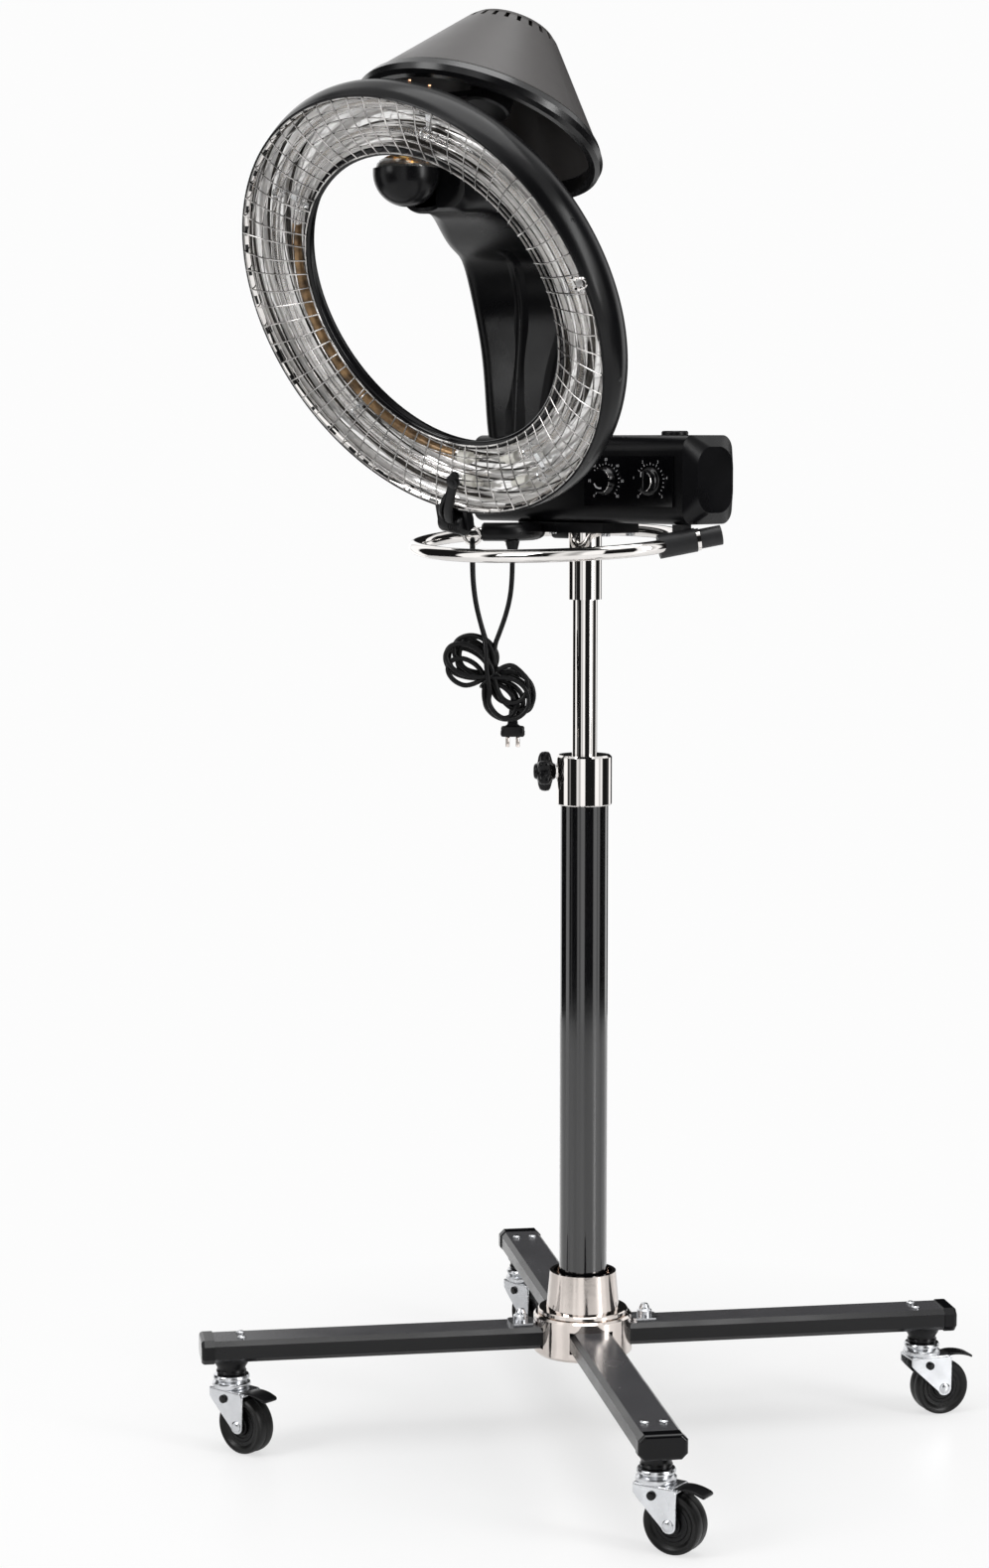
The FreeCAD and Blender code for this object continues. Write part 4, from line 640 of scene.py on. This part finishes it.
def make_ring():
    """Black channel, fluted mirror band, bright slotted lip and the roll of the inner rim."""
    bm = bmesh.new()
    outer, inner = channel(lambda s: 0.0), channel(lambda s: 2.4)
    add_lathe(bm, outer + [(outer[-1][0] + 1.0, outer[-1][1] + 0.9)] + inner[::-1]
              + [(LIP_R - 1.5, 0.6), (LIP_R - 1.2, 1.7), (LIP_R - 0.2, 2.1), (LIP_R + 0.7, 1.5)],
              RING, 240)
    place_piece("ring_casing", bm, CASING, "ring", ["ring_shell"], 30)
    # mirror band, rolled into rounded flutes that run round the ring
    bm = bmesh.new()
    flutes = channel(lambda s: 4.1 + 1.9 * abs(sin(8 * pi * s)) ** 0.8, 14)
    add_lathe(bm, flutes + channel(lambda s: 3.6, 3)[::-1], RING, 300)
    place_piece("mirror_band", bm, MIRROR, "ring", ["ring_reflector"], 50)
    bm = bmesh.new()
    add_lathe(bm, [(LIP_R - 2.6, -0.9), (LIP_R - 1.5, 0.9), (LIP_R - 2.1, 1.5),
                   (LIP_R - 4.0, 0.2), (LIP_R - 5.4, -2.2)], RING, 240)
    place_piece("lip_trim", bm, CHROME, "ring", (), 60)
    # slots pressed through the bright flange
    bm, a = bmesh.new(), 95.0
    while a < 447:
        wide = rnd.uniform(0.8, 3.4)
        low = rnd.choice((-2.2, -3.4, -5.0))
        add_lathe(bm, [(LIP_R - 4.6 + low * 0.3, low), (LIP_R - 4.2 + low * 0.3, low - 0.5),
                       (LIP_R - 1.7, 0.7), (LIP_R - 1.9, 1.6), (LIP_R - 4.1, 0.35)], RING,
                  4, a, wide)
        a += wide + rnd.uniform(2.0, 9.0)
    place_piece("lip_slots", bm, GLOSS_BLACK, "ring", (), 50)
    bm = bmesh.new()
    add_lathe(bm, [(HOLE_R - 1.5, -20.75), (HOLE_R + 7, -20.75), (HOLE_R + 6.6, -19.2),
                   (HOLE_R + 5.4, -18.3), (HOLE_R + 2, -17.7), (HOLE_R - 0.4, -18.3),
                   (HOLE_R - 1.5, -19.4)], RING, 240)
    place_piece("inner_rim_roll", bm, GLOSS_BLACK, "ring", ["ring_inner_rim"], 50)


def bow(share):
    """Height of the guard's surface from its inner to its outer ring."""
    return -16.9 * (1 - share) + 0.6 * share + 5.0 * sin(pi * share)


def make_guard():
    """Wire rings at even steps, crossed by slightly swayed spokes."""
    inner, outer = HOLE_R + 2.0, LIP_R - 1.8
    bm = bmesh.new()
    for i in range(7):
        share = i / 6
        radius = inner + (outer - inner) * share
        thick = 1.1 if i in (0, 6) else 0.75
        add_tube(bm, [RING @ polar(radius, 360 * k / 200, bow(share)) for k in range(200)],
                 thick, 6, closed=True)
    count = 66
    for i in range(count):
        a = 360 * (i + 0.5) / count
        sway = rnd.uniform(-0.7, 0.7)
        spoke = []
        for k in range(9):
            share = k / 8
            radius = inner - 0.4 + (outer - inner + 0.8) * share
            spoke.append(RING @ polar(radius, a + sway * sin(pi * share),
                                      bow(share) + 1.5))
        add_tube(bm, spoke, 0.7, 6)
    place_piece("guard_mesh", bm, GUARD_WIRE, "ring", ["wire_guard"], 60)


TUBE_RADII, TUBE_DEPTH = (MIDDLE_R - 14, MIDDLE_R + 12), -27


def make_tubes():
    """Quartz tubes with a coiled filament inside, white end caps and bright brackets."""
    glass, coil, ends, brackets = (bmesh.new() for _ in range(4))
    for radius in TUBE_RADII:
        path = [RING @ polar(radius, -80 + 340 * k / 150, TUBE_DEPTH) for k in range(151)]
        add_tube(glass, path, 4.6, 16)
        turns = int(radius * 2.0)
        line = []
        for k in range(turns * 6 + 1):
            a = -76 + 332 * k / (turns * 6)
            w = 2 * pi * k / 6
            line.append(RING @ polar(radius + 1.1 * cos(w), a,
                                     TUBE_DEPTH + 1.1 * sin(w)))
        add_tube(coil, line, 0.22, 4)
        for a, way in ((-80, -1), (260, 1)):
            cap = facing(RING @ polar(radius, a, TUBE_DEPTH),
                         RING.to_3x3() @ polar(1, a + 90 * way))
            add_pin(ends, 5.8, 14, cap @ moved(0, 0, -8), 0.8, 28)
            add_pin(ends, 3.0, 10, cap @ moved(0, 0, 4), 0.5, 20)
    for i in range(5):
        place = RING @ turned(72 * i, "Z")
        add_box(brackets, (MIDDLE_R - 21, -3, -35.2), (MIDDLE_R + 18, 3, -33.6), place, 0.3, 1)
        add_box(brackets, (MIDDLE_R - 2, -3, -44.5), (MIDDLE_R + 2, 3, -34), place, 0.3, 1)
        for radius in TUBE_RADII:
            loop = [place @ Vector((radius + 5.7 * cos(b), 0,
                                    TUBE_DEPTH + 5.7 * sin(b)))
                    for b in (2 * pi * k / 20 for k in range(20))]
            add_tube(brackets, loop, 0.8, 6, closed=True)
    # the inner tube's reflecting coat, along a part of its back
    coat = bmesh.new()
    rows = []
    for k in range(61):
        a = 150 + 106 * k / 60
        rows.append([RING @ polar(TUBE_RADII[0] + 4.9 * cos(b), a,
                                  TUBE_DEPTH + 4.9 * sin(b))
                     for b in (radians(60 + 200 * j / 14) for j in range(15))])
    add_rows(coat, rows, wrap_row=False)
    place_piece("tube_coat", coat, GOLD_COAT, "ring", (), 60)
    place_piece("quartz_tubes", glass, QUARTZ, "ring", ["heater_tubes"], 60)
    place_piece("filament_coils", coil, FILAMENT, "ring")
    place_piece("tube_ends", ends, CERAMIC, "ring")
    place_piece("tube_brackets", brackets, CHROME_SATIN, "ring")


def make_ring_fittings():
    """Rivets and screws on the outside of the ring, the guard's wire clip and a short rod."""
    bm, dark = bmesh.new(), bmesh.new()
    for a in (70, 76):
        spot = RING @ polar(SHELL_R - 1.6, a, -30)
        add_screw(bm, facing(spot, RING.to_3x3() @ polar(1, a)), 1.7, 1.2)
    place_piece("contact_rivets", bm, COPPER, "ring")
    bm = bmesh.new()
    for a in (20, 158, 204, 338):
        place = facing(RING @ polar(SHELL_R - 0.8, a, -16), RING.to_3x3() @ polar(1, a))
        add_screw(bm, place, 2.4, 1.2)
        # painted shade: dark bars stand for the shade in each screw's cross recess
        add_cross_shade(dark, place, 2.4, 1.2)
    place_piece("casing_screws", bm, DARK_STEEL, "ring")
    place_piece("casing_screw_recess_shade", dark, GLOSS_BLACK, "ring")
    # wire clip, and the bright rod beside the latch
    bm = bmesh.new()
    clip = RING @ turned(6, "Z")
    add_tube(bm, curve_through((
        (LIP_R - 12, -5, 2.0), (LIP_R - 6, -5, 3.6), (LIP_R + 1.5, -4, 3.4),
        (LIP_R + 3.2, 0, 2.0), (LIP_R + 1.5, 4, 3.4), (LIP_R - 6, 5, 3.6),
        (LIP_R - 12, 5, 2.0)), 5, clip), 1.2, 8)
    for side in (-1, 1):
        add_pin(bm, 1.9, 3.2, clip @ moved(LIP_R - 5.5, side * 5, 2.6), 0.5, 20)
    add_tube(bm, curve_through([RING @ polar(r, a, 5.2) for r, a in (
        (200.5, -98.5), (202.8, -95), (204.6, -91), (206.4, -87))], 5), 1.7, 10)
    place_piece("guard_clip", bm, CHROME, "ring")


make_ring()
make_guard()
make_tubes()
make_ring_fittings()


def make_latch():
    """Moulded clip: a ribbed barrel on its pin and a finger lever that reaches over the guard."""
    place = RING @ turned(-12, "Z") @ moved(0, -229.5, -6) @ turned(180, "Z")
    bm = bmesh.new()
    outline = [(2.6, -12), (9.8, -12), (11.5, -11.2), (12, -9.6)]
    for k in range(5):
        outline += [(12, -8.4 + 2.4 * k), (11.2, -8.0 + 2.4 * k), (11.2, -7.2 + 2.4 * k),
                    (12, -6.8 + 2.4 * k)]
    outline += [(12.2, 6), (12.3, 13.5), (11.6, 15.4), (9.8, 16), (2.6, 16)]
    add_lathe(bm, outline, place @ turned(90, "Y"), 72)
    line = curve_through(((2, 3, 3.5), (1, -7, 8.6), (-2, -21, 11.6), (-8, -38, 12.2),
                          (-14, -54, 11.4), (-17, -63, 10.4)), 5)
    sizes = []
    for i in range(len(line)):
        share = i / (len(line) - 1)
        wide = 6.8 - 5.2 * share + 5.6 * share ** 3 - 4.6 * share ** 12
        sizes.append((wide, 4.8 - 3.0 * share ** 0.6 + 0.4 * share))
    add_bar(bm, [place @ spot for spot in lined(line, (0, 0, 1))], sizes)
    add_pin(bm, 7.0, 5.6, place @ moved(-14, -54, 9.8), 1.6, 36)
    add_pin(bm, 3.6, 6.8, place @ moved(-14, -54, 9.8), 0.8, 28)
    add_tube(bm, curve_through(((10, -4, 8), (8.5, -17, 11.6), (2, -30, 12.6),
                                (-7, -42, 12.2)), 5, place), 2.2, 10)
    place_piece("latch_clip", bm, CAP_PLASTIC, "latch", ["guard_latch"], 40)


make_latch()
dress(DARK_STEEL, "carrier_hub", "swing_motor")
dress(BLACK_PAINT, "carrier_arm")

# ---- bell, arm and lamp
dress(BELL_SKIN, "bell_cover")
dress(HOUSING, "arm_left_shell", "arm_right_shell")
dress(BLACK_PAINT, "arm_frame", "mount_plate")
dress(CAP_PLASTIC, "sensor_cup")


def make_arm_ridge():
    """Raised bead over the seam of the two arm halves, down the side that faces the ring."""
    spine = curve_through([(218.4, 1013, 0), (224, 1060, 0), (232, 1110, 0), (231, 1148, 0),
                           (214, 1180, 0), (186, 1191, 0)], 8)
    rows = []
    for i, p in enumerate(spine):
        way = (spine[min(i + 1, len(spine) - 1)] - spine[max(i - 1, 0)]).normalized()
        inward = Vector((-way.y, way.x, 0))
        share = min(1.0, 3.0 * min(i, len(spine) - 1 - i) / len(spine))
        row = []
        for across, high in ((-9, -1.5), (-7, 0.1), (-3.4, 1.7), (-2.0, 3.0), (0, 3.3),
                             (2.0, 3.0), (3.4, 1.7), (5, 0.6), (12, -1.5)):
            q = p + inward * (high * (0.25 + 0.75 * share))
            row.append(ARM @ Vector((q.x, across, q.y)))
        rows.append(row)
    bm = bmesh.new()
    add_rows(bm, rows, wrap_row=True)
    place_piece("arm_ridge", bm, HOUSING, "head", (), 50)


make_arm_ridge()


def make_lamp():
    """Clear dome over a gold reflector and lamp."""
    bm = bmesh.new()
    dome = [(28.4, 0.5), (28.4, 4.5), (27.2, 8.5), (24, 12), (18, 15.2), (10, 17.4), (0, 18)]
    inner = [(max(0, x - 1.6), y - 1.6) for x, y in dome[::-1]]
    add_lathe(bm, dome + inner, CUP, 96, closed=False)
    place_piece("lamp_dome", bm, GLASS, "head", ["sensor_lamp"], 50)
    bm = bmesh.new()
    add_lathe(bm, [(0, 2.2), (20, 2.2), (23.5, 5), (24.5, 6.5), (22, 6.5), (16, 3.9), (9, 3.9),
                   (7, 9.5), (4.2, 12.5), (0, 13.4)], CUP, 72, closed=False)
    place_piece("lamp_core", bm, GOLD, "head", (), 40)


make_lamp()

# ---- control box
dress(HOUSING, "box_front_shell", "box_back_shell", "box_end_caps")
dress(GLOSS_BLACK, "dial_bezels")
dress(CAP_PLASTIC, "switch_units", "start_button")
DIAL_Z, TIMER_X, HEAT_X, DIAL_DEPTH = 967.0, 66.0, 121.0, 13.5
FRONT_Y, DIAL_FOOT_Y = -47.5, -48.1
START_WAY, DIAL_SWEEP = 225, 270


def make_dial(node, body, x, grip):
    """Knurled skirt with a bright edge and a drum, with a grip bar or a flat marked face."""
    place = moved(x, DIAL_FOOT_Y, DIAL_Z) @ turned(90, "X")
    bm = bmesh.new()
    rows = []
    face = DIAL_DEPTH - (2.4 if grip else 4.5)
    drum = 10.6 if grip else 12.2
    for r, h, knurl in ((13.2, 0.2, 0), (13.6, 0.6, 0.25), (13.6, 2.4, 0.25), (13.0, 3.0, 0),
                        (drum + 0.6, 3.4, 0), (drum, 4.2, 0), (drum - 0.4, face - 1.0, 0),
                        (drum - 1.4, face, 0), (0.0, face, 0)):
        rows.append([place @ polar(max(0.0, r - knurl * (k % 2)), 360 * k / 120, h)
                     for k in range(120)])
    add_rows(bm, rows)
    bm.faces.new([bm.verts.new(place @ polar(13.2, 360 * k / 120, 0.2)) for k in range(120)])
    if grip:
        add_box(bm, (-2.2, -9.6, 3.8), (2.2, 9.6, DIAL_DEPTH - 0.2), place, 0.9, 3)
    place_piece(node + "_cap", bm, GLOSS_BLACK, body, [node], 40)
    bm = bmesh.new()
    if grip:
        add_box(bm, (-0.45, 4.4, DIAL_DEPTH - 0.5), (0.45, 9.0, DIAL_DEPTH - 0.05), place,
                0.1, 1)
    else:
        for k in range(9):
            add_box(bm, (6.2, -0.62, face - 0.2), (7.6, 0.62, face + 0.12),
                    place @ turned(205 + 10 * k, "Z"))
    place_piece(node + "_mark", bm, MARKS, body)
    bm = bmesh.new()
    edge = [place @ polar(drum - 0.75, -62 + 3 * k, face - 0.4) for k in range(37)]
    add_tube(bm, edge, 0.26, 8)
    place_piece(node + "_edge", bm, CHROME, body)


def make_scale(x, numbers, name):
    """White ticks round a dial with small generic numbers."""
    place = moved(x, FRONT_Y, DIAL_Z) @ turned(90, "X")
    bm = bmesh.new()
    count = 21
    for i in range(count):
        a = START_WAY - DIAL_SWEEP * i / (count - 1)
        long = 2.4 if i % 2 == 0 else 1.2
        add_box(bm, (15.6, -0.28, -0.1), (15.6 + long, 0.28, 0.08), place @ turned(a, "Z"))
    place_piece(name + "_ticks", bm, MARKS, "head")
    step = DIAL_SWEEP / (len(numbers) - 1)
    for i, number in enumerate(numbers):
        text = bpy.data.curves.new(name + "_number_%d" % i, "FONT")
        text.body, text.size = number, 0.0038
        text.align_x, text.align_y = "CENTER", "CENTER"
        text.extrude = 0.00006
        text.materials.append(MARKS)
        made = add_object(text.name, text)
        spot = place @ polar(20.6, START_WAY - step * i)
        made.matrix_world = Matrix.Translation(spot * 0.001) @ turned(90, "X")
        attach(made, "head")


make_dial("timer_dial", "timer_dial", TIMER_X, False)
make_dial("heat_dial", "heat_dial", HEAT_X, True)
make_scale(TIMER_X, ("0", "10", "20", "30", "40", "50", "60"), "timer")
make_scale(HEAT_X, ("0", "1", "2", "3", "4", "5"), "heat")


def make_bracket_bolt():
    """Acorn nut on its washer under the cord's bracket."""
    bm = bmesh.new()
    place = moved(-30, -79, 908) @ turned(180, "X")
    add_lathe(bm, [(0, 0), (5.4, 0), (5.4, 1.0), (4.2, 1.2), (4.0, 4.0), (3.2, 5.6), (1.6, 6.6),
                   (0, 6.9)], place, 48, closed=False)
    place_piece("bracket_bolt", bm, CHROME, "head")


make_bracket_bolt()


def make_brackets():
    """Smooth black arm that carries the cord's exit and its eye, and the loop's rear saddle."""
    low, high = (Vector(c) * 1000 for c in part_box("handle_brackets"))
    middle, half = (low.z + high.z) / 2, (high.z - low.z) / 2
    line = curve_through([hang(-100, middle, -45), hang(-92, middle, -45.5),
                          hang(-78, middle, -44), hang(-66, middle, -37),
                          hang(-57, middle, -22), hang(-56, middle, -4)], 5)
    places = lined(line, (0, 0, 1))
    sizes = []
    for i in range(len(places)):
        share = i / (len(places) - 1)
        sizes.append((11.5 + 3.0 * exp(-9 * share) + 5 * share ** 2, half))
    mouth = places[0]
    bm = bmesh.new()
    rounding = [mouth @ moved(0, 0, z) for z in (5, 0.4, 0, 1.2)]
    add_bar(bm, rounding + places[1:], [(9.0, half * 0.62), (11.6, half * 0.78),
                                        (13.0, half * 0.9), (14.3, half)] + sizes[1:], 0.75)
    add_box(bm, (-60, 16, low.z), (-32, 64, high.z), IDENTITY, 4.0, 4)
    place_piece("bracket_arm", bm, CAP_PLASTIC, "head", ["handle_brackets"], 40)


make_brackets()

# ---- handle, post, base
dress(CHROME, "handle_loop", "lift_post", "cord_hook", "height_collar", "post_sleeve")
dress(GRIP, "handle_grip")
dress(CAP_PLASTIC, "collar_bush")
dress(GLOSS_BLACK, "leg_end_caps")
dress(COLUMN_PAINT, "column_tube")
dress(NICKEL, "base_hub")
dress(ZINC, "base_fasteners", "head_screws")
LEG_WAY = {"rear_right": 51.0, "rear_left": 141.0, "front_left": 231.0, "front_right": 321.0}
LEGS = tuple(LEG_WAY)
TRAIL_WAY = {"rear_right": 60.0, "rear_left": -12.0, "front_left": 2.0, "front_right": 10.0}
CASTOR_R, TRAIL, AXLE_Z, KNOB_Z = 358, 20, 29, 677
for leg in LEGS:
    dress(LEG_PAINT, "leg_" + leg)


def make_star_knob():
    """Six-lobed moulded hand knob with a domed centre, on its bright threaded stem."""
    place = moved(0, 0, KNOB_Z) @ turned(220, "Z") @ turned(90, "Y") @ moved(0, 0, 30)
    bm, rows = bmesh.new(), []
    for z, core, lobe in ((-1.4, 6.4, 0), (-0.6, 7.3, 0), (1.6, 8.2, 0.4), (2.8, 10.5, 2.6),
                          (4.0, 12.4, 4.9), (5.6, 13.2, 6.2), (9.0, 13.4, 6.5), (12.4, 13.2, 6.3),
                          (14.6, 12.4, 5.6), (16.0, 10.8, 3.8), (16.8, 8.6, 0.8), (17.4, 8.0, 0),
                          (19.2, 7.6, 0), (20.4, 6.2, 0), (20.9, 3.6, 0), (21.0, 0, 0)):
        rows.append([place @ polar(core + lobe * (0.5 + 0.5 * cos(6 * a)) ** 0.75,
                                   degrees(a), z)
                     for a in (2 * pi * k / 120 for k in range(120))])
    grid = add_rows(bm, rows)
    bm.faces.new(grid[0])
    place_piece("knob_grip", bm, CAP_PLASTIC, "height_knob", ["height_knob"], 50)
    bm = bmesh.new()
    thread = [(0, -16)] + [(3.1 + 0.5 * (k % 2), -16 + 0.6 * k) for k in range(26)] + [(0, -0.9)]
    add_lathe(bm, thread, place, 32, closed=False)
    place_piece("knob_stem", bm, CHROME, "height_knob", (), 50)


make_star_knob()


def add_plate(bm, outline, start, thick, place, edge=0.5):
    """Flat plate in the place's XZ plane, its outer edge slightly bevelled; thick may be < 0."""
    middle = sum((Vector(p) for p in outline), Vector((0, 0))) / len(outline)
    rows = []
    for y, inset in ((start, 0.0), (start + thick - copysign(edge, thick), 0.0),
                     (start + thick, edge)):
        row = []
        for p in outline:
            away = Vector(p) - middle
            q = middle + away * (1 - inset / away.length)
            row.append(place @ Vector((q.x, y, q.y)))
        rows.append(row)
    add_rows(bm, rows, caps=True)


def make_castor(leg):
    """Stepped black mount, ball race, pressed fork with its rivets, and the brake's foot tab."""
    spot = Matrix.Translation(polar(CASTOR_R, LEG_WAY[leg]))
    place = spot @ turned(TRAIL_WAY[leg], "Z")
    bm = bmesh.new()
    add_lathe(bm, [(0, 59.2), (4.9, 59.2), (4.9, 77.8), (12.5, 77.8), (14.5, 78.6), (15.2, 80.6),
                   (14.2, 82.4), (14.4, 84.6), (16.6, 88.0), (17.6, 91.0), (17.8, 92.9),
                   (0, 92.9)], spot, 64, closed=False)
    seat = place_piece("castor_seat_" + leg, bm, CAP_PLASTIC, "base", (), 40)
    bm = bmesh.new()
    add_lathe(bm, [(5.2, 64), (16.6, 64), (18.4, 64.8), (19.2, 66.6), (18.8, 68.8), (17.0, 70.2),
                   (16.2, 71.0), (17.2, 72.0), (18.2, 73.4), (18.2, 75.2), (17.2, 76.8),
                   (15.5, 77.5), (5.2, 77.5)], place, 72)
    add_box(bm, (-17, -14.6, 60.6), (25, 14.6, 64.2), place, 1.4, 3)
    arc = [(TRAIL + 7.6 * cos(a), AXLE_Z + 7.6 * sin(a))
           for a in (radians(205 + 155 * k / 12) for k in range(13))]
    outline = [(-17, 63.4), (-17, 55), (-12, 49.5)] + arc + [(27.8, 40), (27.6, 60), (25, 63.4)]
    reach = 14.6
    for side in (-1, 1):
        add_plate(bm, outline, side * (reach - 2.0), side * 2.0, place)
        add_lathe(bm, [(0, 0), (5.6, 0), (5.6, 0.7), (4.4, 1.7), (2.2, 2.2), (0, 2.3)],
                  place @ moved(TRAIL, side * reach, AXLE_Z) @ turned(-90 * side, "X"), 36,
                  closed=False)
    add_pin(bm, 1.9, 2 * reach - 2, place @ moved(27, -reach + 1, 61.0) @ turned(-90, "X"),
            0.4, 20)
    place_piece("castor_fork_" + leg, bm, ZINC, "castor_" + leg,
                ["castor_frame_" + leg], 35)
    bm = bmesh.new()
    for side in (-1, 1):
        add_pin(bm, 4.2, 2.6, place @ moved(3, side * reach, 54.5) @ turned(-90 * side, "X"),
                0.9, 28)
    place_piece("fork_stops_" + leg, bm, GLOSS_BLACK, "castor_" + leg)
    bm = bmesh.new()
    places = lined(curve_through(((24.5, 0, 62.6), (33, 0, 63.4), (42, 0, 62.6),
                                  (50, 0, 60.4), (54, 0, 58.4)), 4, place), (0, 0, 1))
    wide = [10.4 - 1.8 * abs(2 * i / (len(places) - 1) - 1) ** 6 for i in range(len(places))]
    add_bar(bm, places, [(w, 1.35 if 0 < i < len(places) - 1 else 1.0)
                         for i, w in enumerate(wide)], 0.35, 32)
    place_piece("brake_tab_" + leg, bm, CAP_PLASTIC, "brake_" + leg,
                ["castor_brake_" + leg], 40)
    return seat


seats = [make_castor(leg) for leg in LEGS]
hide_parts("castor_mounts")


def make_wheel(leg):
    """Tyre with a shallow groove, and a web with a raised hub and a ridge on each side."""
    trail = TRAIL_WAY[leg]
    centre = polar(CASTOR_R, LEG_WAY[leg], AXLE_Z) + polar(TRAIL, trail)
    place = facing(centre, polar(1, trail + 90))
    bm = bmesh.new()
    half = 11.0
    outline = [(17, -7.6), (20.5, -8.0), (22.2, -9.6), (24, -10.8), (26.4, -half), (28.2, -9.6),
               (28.8, -7.6), (29, -5), (28.6, -0.6), (28.3, -0.4), (28.3, 0.4), (28.6, 0.6),
               (29, 5), (28.8, 7.6), (28.2, 9.6), (26.4, half), (24, 10.8), (22.2, 9.6),
               (20.5, 8.0), (17, 7.6)]
    add_lathe(bm, outline, place, 96)
    place_piece("tread_" + leg, bm, TYRE, "wheel_" + leg, ["castor_wheel_" + leg], 30)
    bm = bmesh.new()
    add_lathe(bm, [(4.05, -half), (9.0, -half), (10, -10.2), (10.4, -7.4), (18, -6.6), (21, -7.4),
                   (21, 7.4), (18, 6.6), (10.4, 7.4), (10, 10.2), (9.0, half), (4.05, half)],
              place, 72)
    for side in (-1, 1):
        add_lathe(bm, [(12.5, side * 6.9), (13.2, side * 7.9), (16.4, side * 7.9),
                       (17.1, side * 6.9)], place, 72)
    place_piece("wheel_web_" + leg, bm, CAP_PLASTIC, "wheel_" + leg)


for leg in LEGS:
    make_wheel(leg)

# ---- floor, world and lamps


BACKDROP = (0.975, 0.975, 0.975, 1)


def make_world():
    """White to the camera, an even grey to matt faces, and a studio to whatever mirrors it."""
    world = bpy.data.worlds.new("studio")
    SCENE.world = world
    world.use_nodes = True
    tree = world.node_tree
    tree.nodes.clear()

    def maths(operation, *values):
        return wired(tree, "Math", dict(enumerate(values)), operation=operation)

    # what metal sees: a dark studio with bright upright panels of uneven width, pale overhead
    way = wired(tree, "TexCoord", {}, "Generated")
    x, y, z = (wired(tree, "SeparateXYZ", {"Vector": way}, axis) for axis in "XYZ")
    angle = maths("ARCTAN2", y, x)
    slow = maths("SINE", maths("MULTIPLY_ADD", angle, 5.0, 0.6))
    quick = maths("SINE", maths("MULTIPLY_ADD", angle, 13.0, 1.1))
    panels = spread(tree, maths("MULTIPLY_ADD", quick, 0.55, slow), 0.012, 1.3, 0.0, 0.62)
    above = spread(tree, z, 0.0, 0.95, 0.62, 0.72)
    ambient = wired(tree, "Background", {"Color": (1, 1, 1, 1), "Strength": 0.5})
    studio = wired(tree, "Background", {"Color": maths("MAXIMUM", panels, above)})
    white = wired(tree, "Background", {"Color": BACKDROP})
    camera, through, glossy = (wired(tree, "LightPath", {}, "Is %s Ray" % kind)
                               for kind in ("Camera", "Transmission", "Glossy"))
    light = wired(tree, "MixShader", {"Fac": glossy, 1: ambient, 2: studio})
    seen = wired(tree, "MixShader", {"Fac": maths("MAXIMUM", camera, through),
                                     1: light, 2: white})
    tree.links.new(seen, tree.nodes.new("ShaderNodeOutputWorld").inputs["Surface"])


def make_floor():
    """Pale floor that fades into the backdrop away from the object."""
    bm = bmesh.new()
    radii = (0.0, 0.4, 0.8, 1.2, 1.8, 2.4)
    add_lathe(bm, [(r * 1000, 0) for r in radii], IDENTITY, 64, closed=False)
    bmesh.ops.remove_doubles(bm, verts=bm.verts, dist=1e-4)
    skin = bpy.data.materials.new("floor_paper")
    skin.use_nodes = True
    tree = skin.node_tree
    shader = tree.nodes["Principled BSDF"]
    shader.inputs["Base Color"].default_value = (0.86, 0.86, 0.86, 1)
    shader.inputs["Roughness"].default_value = 0.35
    glow = wired(tree, "Emission", {"Color": BACKDROP})
    place = wired(tree, "TexCoord", {}, "Object")
    length = wired(tree, "VectorMath", {0: place}, "Value", operation="LENGTH")
    fade = wired(tree, "Math", {0: spread(tree, length, 0.5, 1.0, 0.2, 0.72),
                                1: wired(tree, "LightPath", {}, "Is Camera Ray")},
                 operation="MULTIPLY")
    both = wired(tree, "MixShader", {"Fac": fade, 1: shader.outputs[0], 2: glow})
    tree.links.new(both, tree.nodes["Material Output"].inputs["Surface"])
    add_mesh("floor", bm, skin)


def make_lamp_light(name, spot, aim, size_x, size_y, power):
    """Area lamp at a spot, aimed at a point; both in metres."""
    data = bpy.data.lights.new(name, "AREA")
    data.shape = "RECTANGLE"
    data.size, data.size_y = size_x, size_y
    data.energy = power
    made = add_object(name, data)
    made.location = spot
    made.rotation_mode = "QUATERNION"
    made.rotation_quaternion = (Vector(aim) - Vector(spot)).to_track_quat("-Z", "Y")


make_world()
make_floor()
make_lamp_light("key", (-0.9, -3.2, 2.4), (0, -0.1, 0.8), 1.2, 2.2, 60)
make_lamp_light("side", (3.0, 0.4, 1.6), (0, 0, 0.7), 0.6, 2.4, 45)
make_lamp_light("top", (0.3, -0.2, 3.6), (0, 0, 0.5), 2.2, 2.2, 60)

SCENE.view_settings.view_transform = "Standard"
